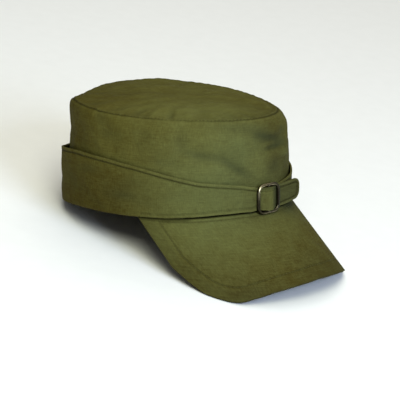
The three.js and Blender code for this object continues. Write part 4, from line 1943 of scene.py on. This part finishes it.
        # Under the buckle the hem doesn't show, and on the tab it shows well.
        edge, free = self.edges(lines, height)
        below = lines.high[:, 2] - height
        inside = self.place.side_bar - np.abs(lines.past)
        hidden = np.where(strapped, smoothstep(inside, *self.under_buckle), 0)
        tab = np.where(strapped & self.round_end, smoothstep(lines.past, *self.tab_from), 0)
        lower_hem = smoothstep(below - free, *self.lower_hem_from)
        relief = self.hem_ridge.by(edge) - self.hem_groove.by(edge)
        relief = relief * (1 - self.lower_hem_flat * lower_hem) * (1 - self.buckle_flat * hidden)
        strap = 1 - smoothstep(degrees, *self.strap_until)
        faint = np.maximum(self.lower_hem_faint * lower_hem, self.strap_faint * strap)

        turned = np.abs(lines.angle) + 0 * height
        pressed = dents(self.folds, turned, height)
        off_edges = smoothstep(np.minimum(edge, below), *self.soft_off_edges)
        softness = smoothstep(degrees, *self.soft_from) * off_edges
        soft = sum(crumple.at(points, side) for crumple in self.crumples)
        soft = (soft + self.soft_stand - pressed) * np.where(strapped, 0, softness)
        climb = np.concatenate(([0.0], np.cumsum(np.linalg.norm(np.diff(points[:, 0], axis=0), axis=1))))
        on_fold = np.arange(len(height))[:, None] < self.fold_rows
        # pressed paints the folds' hollows and the buckle's shadow darker.
        grid = ClothGrid(
            points=points,
            along=np.broadcast_to(lines.run, height.shape).copy(),
            up=np.where(on_fold, climb[:, None], height),
            stitch=np.where(hidden > 0.5, self.hem_groove.at, edge - self.hem_groove.at),
            worn=sum(one.by(edge) for one in self.edge_wear_and_highlight) * (1 - hidden),
            relief=relief,
            faint=faint * (1 - self.tab_clear * tab),
            seam=self.edge_seam.by(free) * smoothstep(degrees, *self.seam_from),
            pressed=self.fold_shade * pressed * softness + self.shade(lines, below, hidden),
        )
        way = np.concatenate((lines.outward, np.zeros((len(lines.run), 1))), axis=1)
        grid.points = points + way * soft[..., None]
        return grid

    def build(self, finishes: Finishes, stitching: Stitching) -> None:
        """Makes the flap with its strap, and the stitches of its hems.

        Args:
            finishes: The scene's materials.
            stitching: What sews the seams.
        """
        name = self.side.name.lower()
        grid = self.grid()
        cloth = lay_grid(f"flap_{name}_cloth", grid, self.stance)
        thicken(cloth, FLAP_CLOTH, 0, self.edge_rounding)
        dress(cloth, finishes.cotton, Slot.COTTON, f"flap_{name}")
        if self.side is Side.RIGHT:
            for part in ("points", "along", "up", "stitch", "worn", "relief"):
                setattr(grid, part, getattr(grid, part)[:, ::-1])
        facing = grid.normals()
        outside = np.sum(facing[..., :2] * grid.points[..., :2]) > 0
        lift = (FLAP_CLOTH / 2 - self.hem_groove.height * 0.8) * (1 if outside else -1)
        thread = stitching.sewn(f"flap_{name}_stitches", grid, lift, 2 * MM)
        dress(thread, finishes.thread, Slot.COTTON)


@dataclass
class Peak:
    """The stiff peak: a board between two layers of cotton, sewn along its edge and its root."""

    shape: CapShape
    stance: Stance
    end: float = 75.0
    board: float = 3.0
    columns: int = 170
    rows: int = 60
    edge_line: float = 12.8
    root_line: float = 3.6
    stitched: Swell = Swell(0.2, 0, 0.6)
    stitch_faint: float = 0.8
    # Lighter edge, rubbed in part and painted highlight in part, and a dark rim, part joint and part
    # painted shade.
    edge_wear_and_highlight: Swell = Swell(0.2, 0, 1.3)
    edge_seam: Swell = Swell(0.4, 0, 1)
    # Painted shade along the root, part joint and part shade, wider beside the sides; painted shade along
    # the near border, and a painted shadow under the tab.
    root_dark_from: float = 0.3
    root_dark: float = 1.1
    root_dark_beside: float = 3.4
    root_beside_from: Span = (46, 52)
    border_until: Span = (8, 12)
    border_from: Span = (20, 45)
    border_shade: float = 0.9
    tab_shade: Swell = Swell(4.4, 20, 14)
    tab_shade_down: Swell = Swell(1, 3, 6)
    rounding: float = 1.1
    sharp: float = math.radians(40)

    def faces(self) -> tuple[Array, Array, Array]:
        """The peak's two faces.

        Returns:
            Points of the upper face, points of the lower face, and lengths down the slope.
        """
        u = np.linspace(0, 1, self.columns + 1)
        v = np.linspace(0, 1, self.rows + 1)
        angle, share = np.meshgrid(np.radians(self.end) * (2 * u - 1), v)
        full, rise = self.shape.peak_section(angle)
        zero = np.zeros_like(angle)
        turned = self.shape.peak_face(angle + 0.01, zero) - self.shape.peak_face(angle - 0.01, zero)
        sloped = self.shape.peak_face(angle, zero + 1) - self.shape.peak_face(angle, zero - 1)
        normal = np.cross(sloped, turned)
        normal *= np.sign(normal[..., 2:]) / np.linalg.norm(normal, axis=-1, keepdims=True)
        upper = self.shape.peak_face(angle, full * share)
        levelled = -self.board * normal[..., 2] / (math.sin(self.shape.peak_slope) + rise / full)
        lower = self.shape.peak_face(angle, levelled * (1 - share) + full * share)
        return upper, lower - normal * self.board, full * share

    def grid(self) -> ClothGrid:
        """The upper face, with its distances from the edge and the root, and its painted shade and
        shadow.

        Returns:
            The sheet.
        """
        upper, _, length = self.faces()
        outline = np.concatenate((upper[:, 0], upper[-1, 1:-1], upper[::-1, -1]))
        fine = np.linspace(0, len(outline) - 1, 6 * len(outline))
        whole = np.arange(len(outline))
        outline = np.stack([np.interp(fine, whole, outline[:, k]) for k in range(3)], axis=-1)
        flat = upper.reshape(-1, 3)
        edge = np.array([np.min(np.linalg.norm(outline - point, axis=1)) for point in flat])
        edge = edge.reshape(length.shape)
        stitch = np.minimum(edge - self.edge_line, length - self.root_line)
        degrees = np.linspace(-self.end, self.end, self.columns + 1) + 0 * length
        # Painted shade along the root and near border, and painted shadow under the tab.
        beside = smoothstep(np.abs(degrees), *self.root_beside_from)
        dark = self.root_dark + self.root_dark_beside * beside - self.root_dark_from
        root = 1 - np.clip((length - self.root_dark_from) / dark, 0, 1)
        border = (1 - smoothstep(edge, *self.border_until)) * smoothstep(-degrees, *self.border_from)
        by_tab = self.tab_shade.by(degrees) * self.tab_shade_down.by(length)
        return ClothGrid(
            points=upper,
            along=upper[..., 0].copy(),
            up=length,
            stitch=stitch,
            worn=self.edge_wear_and_highlight.by(edge),
            relief=-self.stitched.by(stitch),
            seam=np.maximum(root, self.edge_seam.by(edge)),
            pressed=by_tab + self.border_shade * border,
            faint=np.full_like(stitch, self.stitch_faint),
        )

    def build(self, finishes: Finishes, stitching: Stitching) -> None:
        """Makes the peak and its two lines of stitches.

        Args:
            finishes: The scene's materials.
            stitching: What sews the seams.
        """
        grid = self.grid()
        upper, lower, _ = self.faces()
        piece = lay_grid("peak_cover", grid, self.stance)
        mesh = piece.data
        order = self.order(read_vertices(mesh), self.stance.placed(upper).reshape(-1, 3))
        count = len(mesh.vertices)
        apply_modifier(piece, "SOLIDIFY", thickness=self.board * MM, offset=-1, use_rim=True)
        places = read_vertices(mesh)
        relief = read_attribute(mesh, RELIEF)[:count]
        normals = self.stance.turned(grid.normals()).reshape(-1, 3)[order]
        normals *= np.sign(normals[:, 2:])
        places[:count] += normals * relief[:, None] * MM
        places[count:] = self.stance.placed(lower).reshape(-1, 3)[order]
        write_vertices(mesh, stand(places, count))
        work_alone(piece)
        edge_rounded(piece, self.rounding, 3, self.sharp)
        dress(piece, finishes.cotton, Slot.COTTON, "peak")
        lift = 0.08 - self.stitched.height
        facing = np.sum(grid.normals()[..., 2]) > 0
        thread = stitching.sewn("peak_stitches", grid, lift if facing else -lift, MM)
        dress(thread, finishes.thread, Slot.COTTON)

    @staticmethod
    def order(places: Array, wanted: Array) -> NDArray[np.int64]:
        """Which wanted point each vertex is, where both hold the same points in other orders.

        Args:
            places: The vertices.
            wanted: The points, more or as many.

        Returns:
            The number of each vertex's point.
        """
        keys = {tuple(np.rint(point / MM * 200).astype(int)): i for i, point in enumerate(wanted)}
        found = []
        for point in places:
            key = tuple(np.rint(point / MM * 200).astype(int))
            if key not in keys:
                keys[key] = int(np.argmin(np.linalg.norm(wanted - point, axis=1)))
            found.append(keys[key])
        return np.array(found)


@dataclass
class Buckle:
    """The slide buckle: a bent frame of brass wire with a bar across its middle."""

    place: BucklePlace
    stance: Stance
    steps: int = 144
    sides: int = 20
    # Painted highlights, each round a place across and up the frame.
    bright: Table = Table(
        ("across", "up", "reach", "light"),
        (
            (-10.5, 9.5, 6, 1),
            (0, 12.5, 7, 0.8),
            (6, -12, 4, 0.3),
            (-2, -12.3, 6, 0.35),
        ),
    )

    def outline(self, turn: Array) -> tuple[Array, Array]:
        """The wire's middle line and the way out from it, at angles round the frame.

        Args:
            turn: Angles round the frame, in radians.

        Returns:
            The points and the directions out.
        """
        out = np.stack((np.cos(turn), np.sin(turn)), axis=-1)
        straight = np.array((self.place.width, self.place.height)) / 2 - self.place.wire / 2
        reach = np.clip(out / self.place.straight, -1, 1) * (straight - self.place.corner)
        return reach + out * self.place.corner, out

    def frame_ring(self) -> bpy.types.Object:
        """The frame alone, upright at the origin: a ring bent to its outline, in millimetres.

        Returns:
            The ring.
        """
        thin, wire = 0.1, self.place.wire / 2
        bpy.ops.object.select_all(action="DESELECT")
        bpy.ops.mesh.primitive_torus_add(
            major_segments=self.steps, minor_segments=self.sides, major_radius=1, minor_radius=thin
        )
        ring = bpy.context.active_object
        around = read_vertices(ring.data)
        middle, out = self.outline(np.arctan2(around[:, 1], around[:, 0]))
        swell = (np.hypot(around[:, 0], around[:, 1]) - 1) * wire / thin
        flat = middle + out * swell[:, None]
        depth = around[:, 2] * wire / thin
        write_vertices(ring.data, np.stack((flat[:, 0], -depth, flat[:, 1]), axis=-1))
        return ring

    def painted_highlight(self, x: Array, z: Array) -> Array:
        """How strong the painted highlight is on the wire, from 0 to 1, by its place in the frame.

        Args:
            x: Places across the frame.
            z: Places up the frame.

        Returns:
            The brightness at each place.
        """
        light = np.zeros_like(x)
        for spot in self.bright.named_rows():
            away = np.hypot(x - spot["across"], z - spot["up"])
            light += spot["light"] * bell(away, 0, spot["reach"])
        return np.clip(light, 0, 1)

    def build(self, finishes: Finishes) -> None:
        """Makes the frame and its bar as one piece.

        Args:
            finishes: The scene's materials.
        """
        ring = self.frame_ring()
        bpy.ops.object.select_all(action="DESELECT")
        bpy.ops.mesh.primitive_cylinder_add(
            vertices=self.sides, radius=self.place.wire / 2, depth=self.place.height - self.place.wire
        )
        bar = bpy.context.active_object
        work_alone(ring)
        bar.select_set(True)
        bpy.ops.object.join()
        mesh = ring.data
        x, y, z = read_vertices(mesh).T
        cos, sin = math.cos(self.place.turn), math.sin(self.place.turn)
        turned = np.stack((x * cos - y * sin, x * sin + y * cos, z), axis=-1)
        write_vertices(mesh, self.stance.placed(turned + np.array(self.place.at)))
        with editing(ring):
            bpy.ops.mesh.normals_make_consistent(inside=False)
        # The painted highlight is strongest where the wire faces the front.
        face = self.stance.turned(np.array((sin, -cos, 0)))
        rubbed_and_lit = np.clip(read_vertices(mesh, "normal") @ face, 0, 1) ** 1.2
        add_attribute(mesh, WEAR_AND_HIGHLIGHT, rubbed_and_lit * self.painted_highlight(x, z))
        ring.name = mesh.name = "buckle_wire"
        bpy.ops.object.shade_smooth_by_angle(angle=SMOOTH_ANGLE)
        dress(ring, finishes.brass, Slot.BRASS, "buckle")


@dataclass(frozen=True)
class Lamp:
    """A soft square lamp that faces the cap."""

    name: str
    azimuth: float
    elevation: float
    distance: float
    size: float
    power: float
    colour: Colour


@dataclass
class Studio:
    """The pale floor, the lamps and the camera."""

    stance: Stance
    finishes: Finishes
    azimuth: float = math.radians(-49)
    elevation: float = math.radians(11.5)
    distance: float = 2000.0
    pixels_per_mm: float = 1.138
    shown: tuple[float, float, float] = (0.0, 0.0, 40.0)
    shown_at: tuple[float, float] = (178.735, 150.843)
    image: float = 400.0
    sensor: float = 36.0
    floor_size: float = 12.0
    room: Colour = (1.0, 1.0, 1.0)
    room_strength: float = 0.2
    lamps: tuple[Lamp, ...] = (
        Lamp("front_lamp", -52.0, 48.0, 2.4, 1.1, 34.3, (1.0, 1.03, 0.82)),
        Lamp("right_lamp", -14.0, 28.0, 2.4, 1.0, 39.5, (0.74, 0.88, 1.14)),
        Lamp("top_lamp", -60.0, 84.0, 2.2, 1.6, 11.2, (1.0, 1.0, 1.0)),
        Lamp("back_lamp", 120.0, 50.0, 2.2, 1.4, 8.5, (1.08, 1.0, 0.80)),
    )

    def add_floor(self) -> None:
        """Lays the floor under the cap."""
        bpy.ops.object.select_all(action="DESELECT")
        bpy.ops.mesh.primitive_plane_add(size=self.floor_size)
        floor = bpy.context.active_object
        floor.name = floor.data.name = "studio_floor"
        floor.data.materials.append(self.finishes.paper)

    def add_camera(self) -> None:
        """Sets the camera at the photograph's angle to the cap."""
        cos_e, sin_e = math.cos(self.elevation), math.sin(self.elevation)
        cos_a, sin_a = math.cos(self.azimuth), math.sin(self.azimuth)
        back = np.array((sin_a * cos_e, -cos_a * cos_e, sin_e))
        right = np.array((cos_a, sin_a, 0.0))
        up = np.cross(back, right)
        shift = (np.array(self.shown_at) - self.image / 2) / self.pixels_per_mm
        eye = np.array(self.shown) + back * self.distance
        aim = np.array(self.shown) - right * shift[0] + up * shift[1]
        back = (eye - aim) / np.linalg.norm(eye - aim)
        right = np.cross(up, back) / np.linalg.norm(np.cross(up, back))
        rows = [Vector(self.stance.turned(axis)) for axis in (right, np.cross(back, right), back)]
        matrix = Matrix(rows).transposed().to_4x4()
        matrix.translation = Vector(self.stance.placed(eye))
        data = bpy.data.cameras.new("photo_camera")
        data.sensor_width = self.sensor
        data.lens = self.pixels_per_mm * self.distance * self.sensor / self.image
        camera = bpy.data.objects.new("photo_camera", data)
        bpy.context.collection.objects.link(camera)
        camera.matrix_world = matrix
        bpy.context.scene.camera = camera

    def add_lamp(self, lamp: Lamp) -> None:
        """Hangs a lamp and turns it to the cap.

        Args:
            lamp: The lamp.
        """
        azimuth, elevation = math.radians(lamp.azimuth), math.radians(lamp.elevation)
        level = math.cos(elevation)
        way = Vector((math.sin(azimuth) * level, -math.cos(azimuth) * level, math.sin(elevation)))
        data = bpy.data.lights.new(lamp.name, "AREA")
        data.size, data.energy, data.color = lamp.size, lamp.power, lamp.colour
        light = bpy.data.objects.new(lamp.name, data)
        bpy.context.collection.objects.link(light)
        light.location = Vector((0, 0, 0.06)) + way * lamp.distance
        light.rotation_euler = way.to_track_quat("Z", "Y").to_euler()

    def build(self) -> None:
        """Makes the floor, the camera, the lamps and the room's own light."""
        self.add_floor()
        self.add_camera()
        for lamp in self.lamps:
            self.add_lamp(lamp)
        world = bpy.data.worlds.new("studio_room")
        bpy.context.scene.world = world
        world.use_nodes = True
        background = world.node_tree.nodes["Background"]
        background.inputs["Color"].default_value = (*self.room, 1.0)
        background.inputs["Strength"].default_value = self.room_strength
        bpy.context.scene.view_settings.view_transform = "Standard"


def corners(box: Any) -> list[list[float]]:
    """A box's lowest and highest corners as plain lists."""
    return [[float(number) for number in corner] for corner in box]


def main() -> None:
    """Builds the cap piece by piece, then the studio round it."""
    logging.basicConfig(level=logging.INFO, format="%(message)s")
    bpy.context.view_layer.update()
    stance, shape, place = Stance(), CapShape(), BucklePlace()
    finishes, stitching = Finishes(), Stitching(stance)
    Crown(shape, stance).build(finishes)
    Peak(shape, stance).build(finishes, stitching)
    Flap(shape, stance, place, Side.RIGHT, True).build(finishes, stitching)
    Flap(shape, stance, place, Side.LEFT, False).build(finishes, stitching)
    Buckle(place, stance).build(finishes)
    Studio(stance, finishes).build()


if __name__ == "__main__":
    main()
